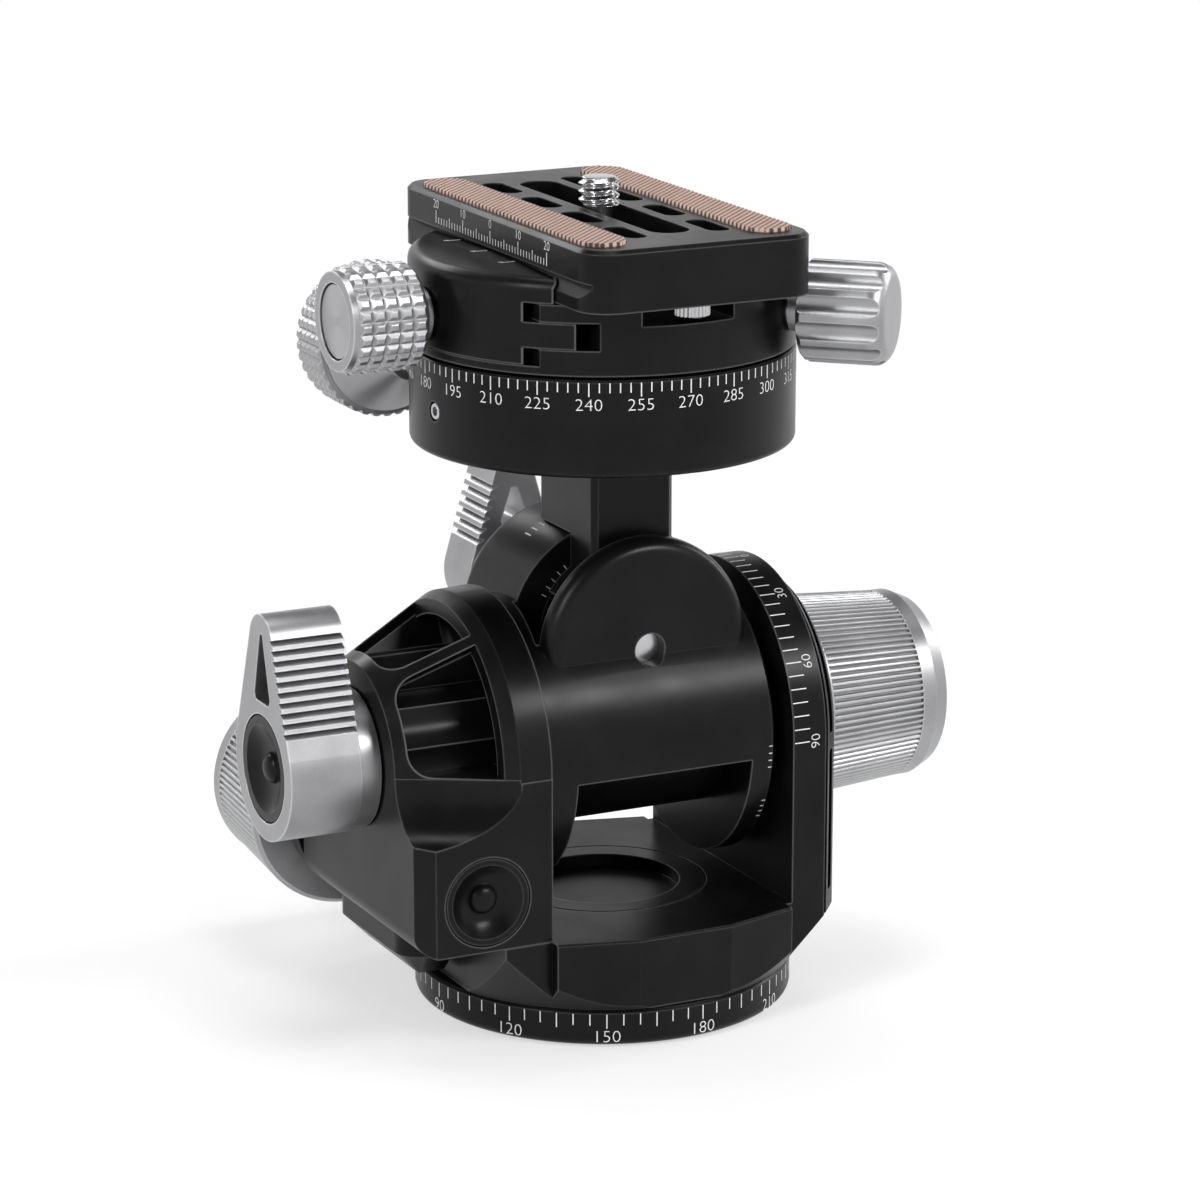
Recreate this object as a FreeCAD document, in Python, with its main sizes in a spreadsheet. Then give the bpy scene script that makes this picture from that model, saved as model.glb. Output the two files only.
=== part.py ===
"""Geared tripod head: two crossed worm drives over a panning foot, with a geared panning clamp on top.

Millimetres.  +X runs along the tilt barrel, +Y to the back, +Z up.
The origin is the centre of the base disc's underside.
"""
import FreeCAD, Part
import math
import os
import re
import Sketcher

SIZES = {
    # base disc and the thread that takes a tripod
    "base_radius": 30.0, "base_height": 5.8, "base_round": 1.5, "thread_radius": 4.76, "thread_depth": 5.0,
    "bush_radius": 8.0, "screw_circle": 15.0, "screw_radius": 1.5, "screw_head": 2.8, "screw_set": 0.2,
    "spindle_flange": 19.0, "spindle_flange_height": 2.2, "spindle_radius": 9.0, "nut_radius": 13.0,
    "nut_height": 2.0, "glide_inner": 23.0, "glide_outer": 28.0,
    # clearances used all over
    "gap": 0.3, "running": 0.03, "slack": 0.1,
    # faceted foot and the side wall that rises from it
    "foot_top": 17.4, "facet_half": 7.9, "facet_front": 29.5, "corner_half": 20.4, "corner_front": 26.1,
    "foot_side": 28.3, "flank_radius": 30.1, "flank_angle": 53.3, "edge_break": 0.3, "cap_radius": 16.6,
    "cap_depth": 4.0, "cap_dish": 12.3, "cap_dish_depth": 2.0, "wall_inner": 21.3, "wall_half": 24.2,
    "rim_drop": 1.2, "rim_width": 6.1, "cover_radius": 20.3, "cover_thick": 2.3, "cover_slot": 23.3,
    "cover_slot_width": 1.2, "cover_slot_top": 2.5, "cover_slot_depth": 2.6, "cover_slot_turn": 80.0,
    # tilt axis: open housing on the left
    "housing_inner": 20.3, "ring_edge": 25.5, "ring_radius": 24.2, "ring_outer": 24.0, "hub_face": 42.4,
    "hub_radius": 15.0, "shell": 2.4, "plate_thick": 2.5, "window_ring": 27.7, "window_ring_half": 10.6,
    "window_hub": 40.4, "window_hub_half": 7.1, "window_step": 61.0, "window_round": 4.5,
    "floor_radius": 15.6, "floor_flutes": 15, "floor_flute": 5.0, "floor_phase": 18.5, "case_radius": 13.0,
    "case_half": 3.2, "block_front": 24.3, "block_bevel": 2.6, "block_round": 3.3, "cove": 9.4,
    "cove_rise": 0.5, "lobe_left": 38.0, "lobe_right": 29.5, "lobe_front": 8.0, "lobe_back": 20.0,
    "lobe_depth": 9.4, "lobe_round": 4.0, "lobe_bevel": 4.0,
    # tilt worm drive
    "tilt_worm_x": 31.2, "worm_lift": 8.0, "tilt_worm_drop": 18.1, "tilt_worm_radius": 5.3,
    "worm_pitch": 2.1, "worm_groove": 1.1, "worm_turns": 9, "worm_shaft": 3.0, "tilt_wheel_half": 3.0,
    "wheel_teeth": 40, "tooth_depth": 1.0, "worm_cap_radius": 7.1, "worm_cap_dish": 5.9,
    "worm_cap_thick": 2.6, "cap_ball": 2.3, "cap_dent": 1.7, "collar_radius": 11.5, "collar_length": 5.3,
    "collar_round": 2.5, "shaft_sunk": 1.5,
    # barrel
    "barrel_radius": 22.5, "barrel_left": 20.0, "barrel_right": 19.0, "relief_half": 15.0,
    "relief_radius": 14.4, "relief_angle": 168.0, "journal_right": 12.0, "journal_left": 8.0,
    "bush_wall": 2.0, "ear_face": 16.7, "ear_radius": 17.4, "ear_round": 2.5, "slot_half": 13.3,
    "slot_back": 2.8, "slot_radius": 18.0, "wheel_pocket_half": 3.9,
    # roll axis and its worm drive
    "roll_rise": 16.0, "roll_worm_radius": 4.0, "roll_wheel_half": 3.0, "roll_wheel_bore": 9.0,
    "pin_radius": 2.5, "pin_recess": 2.0, "pin_big": 4.0,
    # lock levers
    "lever_hub": 11.3, "lever_tip": 4.6, "lever_reach": 19.8, "lever_thick": 11.7, "lever_start": 46.0,
    "lever_collar": 10.9, "lever_hole_low": 10.5, "lever_hole_high": 21.3, "lever_hole_half": 3.4,
    "lever_groove_low": 7.6, "lever_groove_pitch": 1.5, "lever_groove_depth": 1.1, "lever_grooves": 10,
    "lever_corner": 1.0, "dish_radius": 8.4, "dish_seat": 2.0, "bolt_radius": 4.0, "small_hub": 8.2,
    "small_tip": 3.4, "small_reach": 17.5, "small_thick": 10.0, "small_start": 32.5, "small_hole_low": 8.7,
    "small_hole_high": 15.1, "small_hole_half": 2.7, "small_groove_low": 6.8, "small_groove_pitch": 1.75,
    "small_grooves": 6, "small_dish": 6.1, "flare_radius": 12.5, "flare_cone": 5.0,
    # big ribbed knobs
    "knob_start": 31.5, "knob_large": 16.5, "knob_small": 15.2, "knob_face": 14.0, "knob_body": 18.5,
    "knob_length": 23.4, "knob_round": 2.6, "rib_depth": 0.5, "rib_half": 0.45, "rib_start": 1.5,
    "ribs": 96, "knob_disc": 10.0, "tilt_knob_start": 29.9,
    # neck and panning ring
    "stem_half": 7.0, "stem_front": 11.0, "stem_back": 7.5, "stem_bevel": 0.9, "neck_hub": 10.6,
    "wheel_rise": 1.2, "sector_radius": 13.0, "sector_half_angle": 56.0, "neck_screw_front": 7.6,
    "neck_screw_side": 4.4, "neck_screw_back": 5.3, "neck_screw_depth": 6.0, "stem_height": 30.5,
    "pan_radius": 30.0, "pan_height": 15.0, "pan_round": 1.0, "pan_floor": 5.0, "pan_wheel_tip": 16.9,
    "pan_worm_x": 21.0, "pan_worm_rise": 10.0, "pan_worm_radius": 3.9, "pan_wheel_half": 2.5,
    "set_screw": 1.5, "set_screw_depth": 2.0, "set_screw_recess": 0.6, "set_screw_left": -174.7,
    "set_screw_left_rise": 7.2, "set_screw_back": 156.3, "set_screw_back_rise": 6.5, "clamp_gap": 0.6,
    "spindle_neck": 6.0, "pan_knob_cone": 35.0, "pan_knob_rim": 12.1, "pan_knob_end": 45.0,
    "pan_knob_stem": 4.2, "knurl_depth": 0.5,
    # clamp
    "layer_height": 1.3, "clamp_rim": 14.6, "clamp_crown": 15.1, "clamp_round": 2.0, "floor_height": 10.7,
    "split_fixed": 20.9, "split_moving": 22.7, "finger_root": 13.5, "finger_tip": 16.6, "finger_half": 12.0,
    "finger_low": 3.9, "finger_high": 8.0, "stop_slot_half": 7.6, "stop_slot_depth": 3.2,
    "stop_slot_end": 14.0, "guide_radius": 1.6, "guide_y": 7.0, "guide_root": 8.0, "guide_wall": 2.8,
    "jaw_z": 6.3, "jaw_screw": 3.0,
    # jaw knob and pan lock knob
    "jaw_stem": 4.1, "knob_neck": 1.0, "jaw_knob_cone": 1.5, "jaw_knob_radius": 8.2,
    "jaw_knob_length": 13.8, "knurl_columns": 5, "knurl_rows": 26, "jaw_disc": 5.6, "jaw_disc_seat": 1.2,
    "lock_angle": -43.0, "lock_radius": 7.9, "lock_neck": 2.5, "lock_length": 13.5, "lock_round": 2.5,
    "lock_flutes": 12, "flute_depth": 0.9, "lock_stem": 3.4, "lock_screw": 2.5, "lock_root": 14.0,
    # quick-release plate
    "plate_half": 19.0, "plate_half_length": 35.0, "plate_lift": 0.3, "plate_height": 9.4,
    "slab_height": 5.0, "slab_lean": 0.2, "groove_tip": 17.9, "groove_height": 3.8, "flank_height": 2.0,
    "plate_corner": 5.0, "plate_chamfer": 0.6, "pad_inner": 10.0, "pad_outer": 17.5, "pad_half": 31.5,
    "pad_height": 0.6, "pad_sunk": 0.8, "slot_x": 6.9, "slot_width": 3.7, "slot_length": 10.5,
    "slot_pitch": 14.4, "screw_slot_width": 6.6, "screw_slot_half": 25.5, "screw_seat_width": 14.0,
    "screw_seat_depth": 4.4, "camera_screw": 3.175, "camera_neck": 2.6, "camera_screw_y": 1.2,
    "camera_screw_rise": 4.5, "screw_point": 0.5, "screw_flange": 6.4, "washer_radius": 5.6, "washer_height": 1.0,
    "stop_x": 1.0, "stop_y": 28.0, "stop_radius": 2.85, "stop_head": 2.8, "stop_stud": 1.5,
}
# heights worked out from the sizes above
SIZES["tilt_height"] = "=foot_top+worm_lift+tilt_worm_drop"
SIZES["ring_bottom"] = "=tilt_height+roll_rise+stem_height"
# knobs and pins that start from the clamp's rim
SIZES["jaw_knob_start"] = "=pan_radius+knob_neck"
SIZES["jaw_knob_end"] = "=jaw_knob_start+jaw_knob_length"
SIZES["lock_start"] = "=pan_radius+lock_neck"
SIZES["lock_end"] = "=lock_start+lock_length"
SIZES["guide_end"] = "=pan_radius-guide_wall"

doc = FreeCAD.newDocument("geared_head")
sheet = doc.addObject("Spreadsheet::Sheet", "sizes")
for line, (alias, number) in enumerate(SIZES.items(), start=1):
    sheet.set("A%d" % line, alias)
    sheet.set("B%d" % line, str(number))
    sheet.setAlias("B%d" % line, alias)
doc.recompute()

NODES = []
VECTOR = FreeCAD.Vector
# turns that send a sub-part's own +Z along a world axis
ALONG_Z = FreeCAD.Rotation()
ALONG_X = FreeCAD.Rotation(VECTOR(0, 1, 0), 90)
ALONG_MINUS_X = FreeCAD.Rotation(VECTOR(0, 1, 0), -90)
ALONG_Y = FreeCAD.Rotation(VECTOR(1, 0, 0), -90)
ALONG_MINUS_Y = FreeCAD.Rotation(VECTOR(1, 0, 0), 90)


def bound(text):
    """Expression text with each size named through the spreadsheet."""
    def full(word):
        return "sizes." + word.group() if word.group() in SIZES else word.group()
    return re.sub(r"[a-z][a-z_0-9]*", full, str(text))


def value(text):
    """Number that an expression gives now."""
    return float(sheet.evalExpression(bound(text)))


def place(item, at=("0", "0", "0"), turn=ALONG_Z):
    """Put a sub-part at a point given by three expressions."""
    item.Placement = FreeCAD.Placement(VECTOR(), turn)
    for letter, text in zip("xyz", at):
        item.setExpression(".Placement.Base." + letter, bound(text))


def body(name, at=("0", "0", "0"), turn=ALONG_Z):
    made = doc.addObject("PartDesign::Body", name)
    made.Label = name
    place(made, at, turn)
    NODES.append(made)
    return made


def sketch(owner, role, offset="0", turn=ALONG_Z):
    """Sketch on one of the body's own planes, turned and then moved along the plane's normal."""
    made = owner.newObject("Sketcher::SketchObject", owner.Name + "_sketch")
    made.AttachmentSupport = [([item for item in owner.Origin.OriginFeatures if item.Role == role][0], "")]
    made.MapMode = "FlatFace"
    made.AttachmentOffset = FreeCAD.Placement(VECTOR(), turn)
    made.setExpression(".AttachmentOffset.Base.z", bound(offset))
    return made


def fix(drawing, kind, geometry, point, text):
    """Coordinate of one sketch point, bound to an expression."""
    number = drawing.addConstraint(Sketcher.Constraint(kind, geometry, point, value(text)))
    drawing.setExpression("Constraints[%d]" % number, bound(text))


def outline(drawing, points):
    """Closed outline.  A point is (x, y), or (x, y, radius, side) where an arc leads on from it."""
    flat = [VECTOR(value(point[0]), value(point[1]), 0) for point in points]
    ends = []
    for index, point in enumerate(points):
        start, stop = flat[index], flat[(index + 1) % len(points)]
        if len(point) == 2:
            ends.append((drawing.addGeometry(Part.LineSegment(start, stop), False), 1, 2))
            continue
        radius = value(point[2])
        run = stop - start
        rise = math.sqrt(max(radius ** 2 - (run.Length / 2) ** 2, 0))
        side = 1 if point[3] == "left" else -1
        centre = (start + stop) * 0.5 + VECTOR(-run.y, run.x, 0) * (side * rise / run.Length)
        first, last = (start, stop) if side > 0 else (stop, start)
        angles = [math.atan2(spot.y - centre.y, spot.x - centre.x) for spot in (first, last)]
        circle = Part.Circle(centre, VECTOR(0, 0, 1), radius)
        number = drawing.addGeometry(Part.ArcOfCircle(circle, angles[0], angles[1]), False)
        ends.append((number, 1, 2) if side > 0 else (number, 2, 1))
    for index, (number, _, stop) in enumerate(ends):
        following = ends[(index + 1) % len(ends)]
        drawing.addConstraint(Sketcher.Constraint("Coincident", number, stop, following[0], following[1]))
    for (number, start, _), point in zip(ends, points):
        fix(drawing, "DistanceX", number, start, point[0])
        fix(drawing, "DistanceY", number, start, point[1])
        if len(point) == 4:
            bend = drawing.addConstraint(Sketcher.Constraint("Radius", number, value(point[2])))
            drawing.setExpression("Constraints[%d]" % bend, bound(point[2]))


def circle(drawing, x, y, radius):
    round_line = Part.Circle(VECTOR(value(x), value(y), 0), VECTOR(0, 0, 1), value(radius))
    number = drawing.addGeometry(round_line, False)
    fix(drawing, "DistanceX", number, 3, x)
    fix(drawing, "DistanceY", number, 3, y)
    bend = drawing.addConstraint(Sketcher.Constraint("Radius", number, value(radius)))
    drawing.setExpression("Constraints[%d]" % bend, bound(radius))


def box(drawing, left, right, low, high):
    outline(drawing, [(left, low), (right, low), (right, high), (left, high)])


def feature(owner, kind, profile, **settings):
    """Pad, Pocket, Revolution or Groove of a sketch; a text setting is bound as an expression."""
    made = owner.newObject("PartDesign::" + kind, owner.Name + "_" + kind)
    made.Profile = profile
    profile.Visibility = False
    for key, setting in settings.items():
        if isinstance(setting, str) and key in ("Length", "Length2", "Angle"):
            made.setExpression(key, bound(setting))
        else:
            setattr(made, key, setting)
    return made


def pad(owner, profile, length, **settings):
    return feature(owner, "Pad", profile, Length=length, **settings)


def checked_cut(owner, made):
    """A cut has to take material away."""
    doc.recompute()
    if made.Shape.Volume > made.BaseFeature.Shape.Volume - 1e-6:
        raise RuntimeError("%s removes nothing" % made.Label)
    return made


def pocket(owner, profile, length, **settings):
    return checked_cut(owner, feature(owner, "Pocket", profile, Length=length, **settings))


def spin(owner, profile, axis="V_Axis", kind="Revolution", **settings):
    settings.setdefault("Angle", "360")
    made = feature(owner, kind, profile, ReferenceAxis=(profile, [axis]), **settings)
    return checked_cut(owner, made) if kind == "Groove" else made


def pattern(owner, originals, count, angle, axis="Z_Axis"):
    """Polar pattern about one of the body's own axes."""
    made = owner.newObject("PartDesign::PolarPattern", owner.Name + "_pattern")
    made.Originals = originals
    made.Axis = ([item for item in owner.Origin.OriginFeatures if item.Role == axis][0], [""])
    made.setExpression("Angle", bound(angle))
    made.setExpression("Occurrences", bound(count))
    owner.Tip = made
    doc.recompute()
    return made


def mirrored(owner, originals, role):
    made = owner.newObject("PartDesign::Mirrored", owner.Name + "_mirror")
    made.Originals = originals
    made.MirrorPlane = ([item for item in owner.Origin.OriginFeatures if item.Role == role][0], [""])
    owner.Tip = made
    doc.recompute()
    return made


def softened(owner, kind, size, chosen):
    """Fillet or Chamfer on the edges of the present solid that a test picks."""
    doc.recompute()
    base = owner.Tip
    names = ["Edge%d" % number for number, edge in enumerate(base.Shape.Edges, start=1) if chosen(edge)]
    made = owner.newObject("PartDesign::" + kind, owner.Name + "_" + kind)
    made.Base = (base, names)
    made.setExpression("Radius" if kind == "Fillet" else "Size", bound(size))
    doc.recompute()
    return made


def straight(edge, direction):
    """True where an edge is a straight line along a direction."""
    if edge.Curve.TypeId != "Part::GeomLine":
        return False
    return abs(abs(edge.Curve.Direction.dot(direction)) - 1) < 1e-6


def near(number, text):
    return abs(number - value(text)) < 0.01


def turned(name, profile, at=("0", "0", "0"), turn=ALONG_Z):
    """Round sub-part: a profile of (radius, height) turned about its own Z."""
    made = body(name, at, turn)
    drawing = sketch(made, "XZ_Plane")
    outline(drawing, profile)
    spin(made, drawing)
    return made


def turned_copies(name, profile, spots):
    """Identical turned pieces in one node, each with its point and turn."""
    made = doc.addObject("Part::Compound", name)
    made.Label = name
    copies = []
    for number, (at, turn) in enumerate(spots, start=1):
        drawing = doc.addObject("Sketcher::SketchObject", "%s_profile_%d" % (name, number))
        drawing.Placement = FreeCAD.Placement(VECTOR(), FreeCAD.Rotation(VECTOR(1, 0, 0), 90))
        outline(drawing, profile)
        one = doc.addObject("Part::Revolution", "%s_%d" % (name, number))
        one.Source = drawing
        one.Axis = VECTOR(0, 0, 1)
        one.Solid = True
        place(one, at, turn)
        copies.append(one)
    made.Links = copies
    NODES.append(made)
    return made


def tube(inner, outer, low, high):
    return [(inner, low), (outer, low), (outer, high), (inner, high)]


# base: what stays with the tripod
def base_disc():
    """Flat disc with a rounded lower edge; its rim carries the panning scale."""
    turned("base_disc", [
        ("bush_radius+slack/2", "0"),
        ("base_radius-base_round", "0", "base_round", "left"),
        ("base_radius", "base_round"),
        ("base_radius", "base_height-0.4"),
        ("base_radius-0.4", "base_height"),
        ("bush_radius+slack/2", "base_height"),
    ])
    made = NODES[-1]
    holes = sketch(made, "XY_Plane")
    circle(holes, "screw_circle", "0", "screw_radius+slack")
    one = pocket(made, holes, "base_height", Reversed=True)
    sinks = sketch(made, "XY_Plane")
    circle(sinks, "screw_circle", "0", "screw_head+slack")
    sink = pocket(made, sinks, "2", Reversed=True)
    pattern(made, [one, sink], "3", "360")


def base_inside():
    """Thread bush, spindle, nut, glide ring and screws of the panning foot."""
    turned("thread_bush", [
        ("thread_radius", "0"), ("bush_radius", "0"), ("bush_radius", "base_height"), ("0", "base_height"),
        ("0", "thread_depth"), ("thread_radius", "thread_depth"),
    ])
    low = "base_height"
    step = "base_height+spindle_flange_height"
    nut = "foot_top-cap_depth-nut_height-gap"
    turned("base_spindle", [
        ("0", low), ("spindle_flange", low), ("spindle_flange", step), ("spindle_radius", step),
        ("spindle_radius", nut), ("spindle_radius-2", nut), ("spindle_radius-2", nut + "+nut_height"),
        ("0", nut + "+nut_height"),
    ])
    spindle = NODES[-1]
    holes = sketch(spindle, "XY_Plane", low)
    circle(holes, "screw_circle", "0", "screw_radius")
    pattern(spindle, [pocket(spindle, holes, "spindle_flange_height", Reversed=True)], "3", "360")
    turned("spindle_nut", tube("spindle_radius-2", "nut_radius", nut, nut + "+nut_height"))
    turned("glide_ring", tube("glide_inner", "glide_outer", low, low + "+gap-0.05"))
    screw = [
        ("0", "screw_set"), ("screw_head", "screw_set"), ("screw_head", "2"), ("screw_radius", "2"),
        ("screw_radius", step), ("0", step),
    ]
    spots = [(("screw_circle*cos(%d)" % angle, "screw_circle*sin(%d)" % angle, "0"), ALONG_Z)
             for angle in (0, 120, 240)]
    turned_copies("base_screws", screw, spots)


# frame: foot, side wall and housing
def foot_frame():
    """Faceted foot with bevelled flanks; the right side wall rises from it to a rim about the tilt axis."""
    made = body("foot_frame")
    plan = sketch(made, "XY_Plane", "base_height+gap")
    corner = [("facet_half", "facet_front"), ("corner_half", "corner_front"), ("corner_half", "wall_half"),
              ("foot_side", "wall_half")]
    front = [(x, "-" + y) for x, y in corner]
    back = [(x, y) for x, y in reversed(corner)]
    left_back = [("-" + x, y) for x, y in corner]
    left_front = [("-" + x, "-" + y) for x, y in reversed(corner)]
    outline(plan, front + back + left_back + left_front)
    pad(made, plan, "foot_top-base_height-gap")
    wall = sketch(made, "YZ_Plane", "wall_inner")
    outline(wall, [
        ("-wall_half", "foot_top-1"), ("wall_half", "foot_top-1"),
        ("wall_half", "tilt_height", "wall_half", "left"),
        ("0", "tilt_height+wall_half", "wall_half", "left"),
        ("-wall_half", "tilt_height"),
    ])
    pad(made, wall, "foot_side-wall_inner")
    doc.recompute()
    rim = made.newObject("PartDesign::Chamfer", "foot_frame_rim")
    solid = made.Tip if made.Tip != rim else made.Group[-2]
    names = []
    for number, edge in enumerate(solid.Shape.Edges, start=1):
        middle = edge.CenterOfMass
        if near(edge.BoundBox.XMin, "foot_side") and near(edge.BoundBox.XMax, "foot_side"):
            if edge.Curve.TypeId == "Part::GeomCircle" or (abs(abs(middle.y) - value("wall_half")) < 0.01
                                                            and middle.z > value("foot_top")):
                names.append("Edge%d" % number)
    rim.Base = (solid, names)
    rim.ChamferType = "Two distances"
    rim.setExpression("Size", bound("rim_drop"))
    rim.setExpression("Size2", bound("rim_width"))
    made.Tip = rim
    doc.recompute()
    softened(made, "Chamfer", "edge_break", lambda edge: near(edge.BoundBox.ZMin, "foot_top")
             and near(edge.BoundBox.ZMax, "foot_top") and abs(edge.CenterOfMass.y) > value("wall_half") + 1)
    turned_flank(made, "base_height")
    low = "base_height+gap"
    bores = sketch(made, "XZ_Plane")
    nut_low = "foot_top-cap_depth-nut_height-2*gap"
    outline(bores, [
        ("0", low), ("spindle_flange+gap", low), ("spindle_flange+gap", low + "+spindle_flange_height"),
        ("spindle_radius+running", low + "+spindle_flange_height"), ("spindle_radius+running", nut_low),
        ("nut_radius+gap", nut_low), ("nut_radius+gap", "foot_top-cap_depth"),
        ("cap_radius", "foot_top-cap_depth"), ("cap_radius", "foot_top"), ("0", "foot_top"),
    ])
    spin(made, bores, kind="Groove")
    seat = sketch(made, "YZ_Plane", "wall_inner")
    circle(seat, "0", "tilt_height", "journal_right+bush_wall")
    pocket(made, seat, "foot_side-wall_inner", Reversed=True)


def turned_flank(owner, low):
    """Cone about the panning axis that trims the corners of the foot and the foot of its cover."""
    flank = sketch(owner, "XZ_Plane")
    reach = "(sqrt(foot_side^2+facet_front^2)+1)"
    outline(flank, [
        ("flank_radius-gap/tan(flank_angle)", low), (reach, low),
        (reach, "%s+gap+(%s-flank_radius)*tan(flank_angle)" % (low, reach)),
    ])
    spin(owner, flank, kind="Groove")


def foot_cap():
    """Dished round cover let into the foot's top over the spindle nut."""
    turned("foot_cap", [
        ("0", "foot_top-cap_depth"), ("cap_radius-slack", "foot_top-cap_depth"),
        ("cap_radius-slack", "foot_top-edge_break"), ("cap_radius-slack-edge_break", "foot_top"),
        ("cap_dish", "foot_top"), ("cap_dish", "foot_top-cap_dish_depth"),
        ("0", "foot_top-cap_dish_depth"),
    ])


def side_cover():
    """Cover on the outside of the right wall, with a bevelled edge and two slots let into the bevel."""
    made = body("side_cover", ("0", "0", "tilt_height"))
    face = sketch(made, "YZ_Plane", "foot_side")
    half = "(cover_radius+cover_thick)"
    low = "base_height-tilt_height"
    outline(face, [
        ("-" + half, low + "+gap"), (half, low + "+gap"),
        (half, "0", half, "left"), ("0", half, half, "left"), ("-" + half, "0"),
    ])
    pad(made, face, "cover_thick")
    softened(made, "Chamfer", "cover_thick-slack",
             lambda edge: near(edge.BoundBox.XMin, "foot_side+cover_thick")
             and not straight(edge, VECTOR(0, 1, 0)))
    hole = sketch(made, "YZ_Plane", "foot_side")
    circle(hole, "0", "0", "journal_right+bush_wall")
    pocket(made, hole, "cover_thick", Reversed=True)
    turned_flank(made, low)
    middle = "foot_side+cover_thick/2"
    slot = sketch(made, "XZ_Plane", half)
    long_hole(slot, middle, "-cover_slot_top-cover_slot/2", "cover_slot_width", "cover_slot")
    pocket(made, slot, "cover_slot_depth", Reversed=False)
    arc = sketch(made, "XY_Plane")
    box(arc, middle + "-cover_slot_width/2", middle + "+cover_slot_width/2",
        "-" + half, "-" + half + "+cover_slot_depth")
    spin(made, arc, "H_Axis", "Groove", Angle="cover_slot_turn", Reversed=True)


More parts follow.
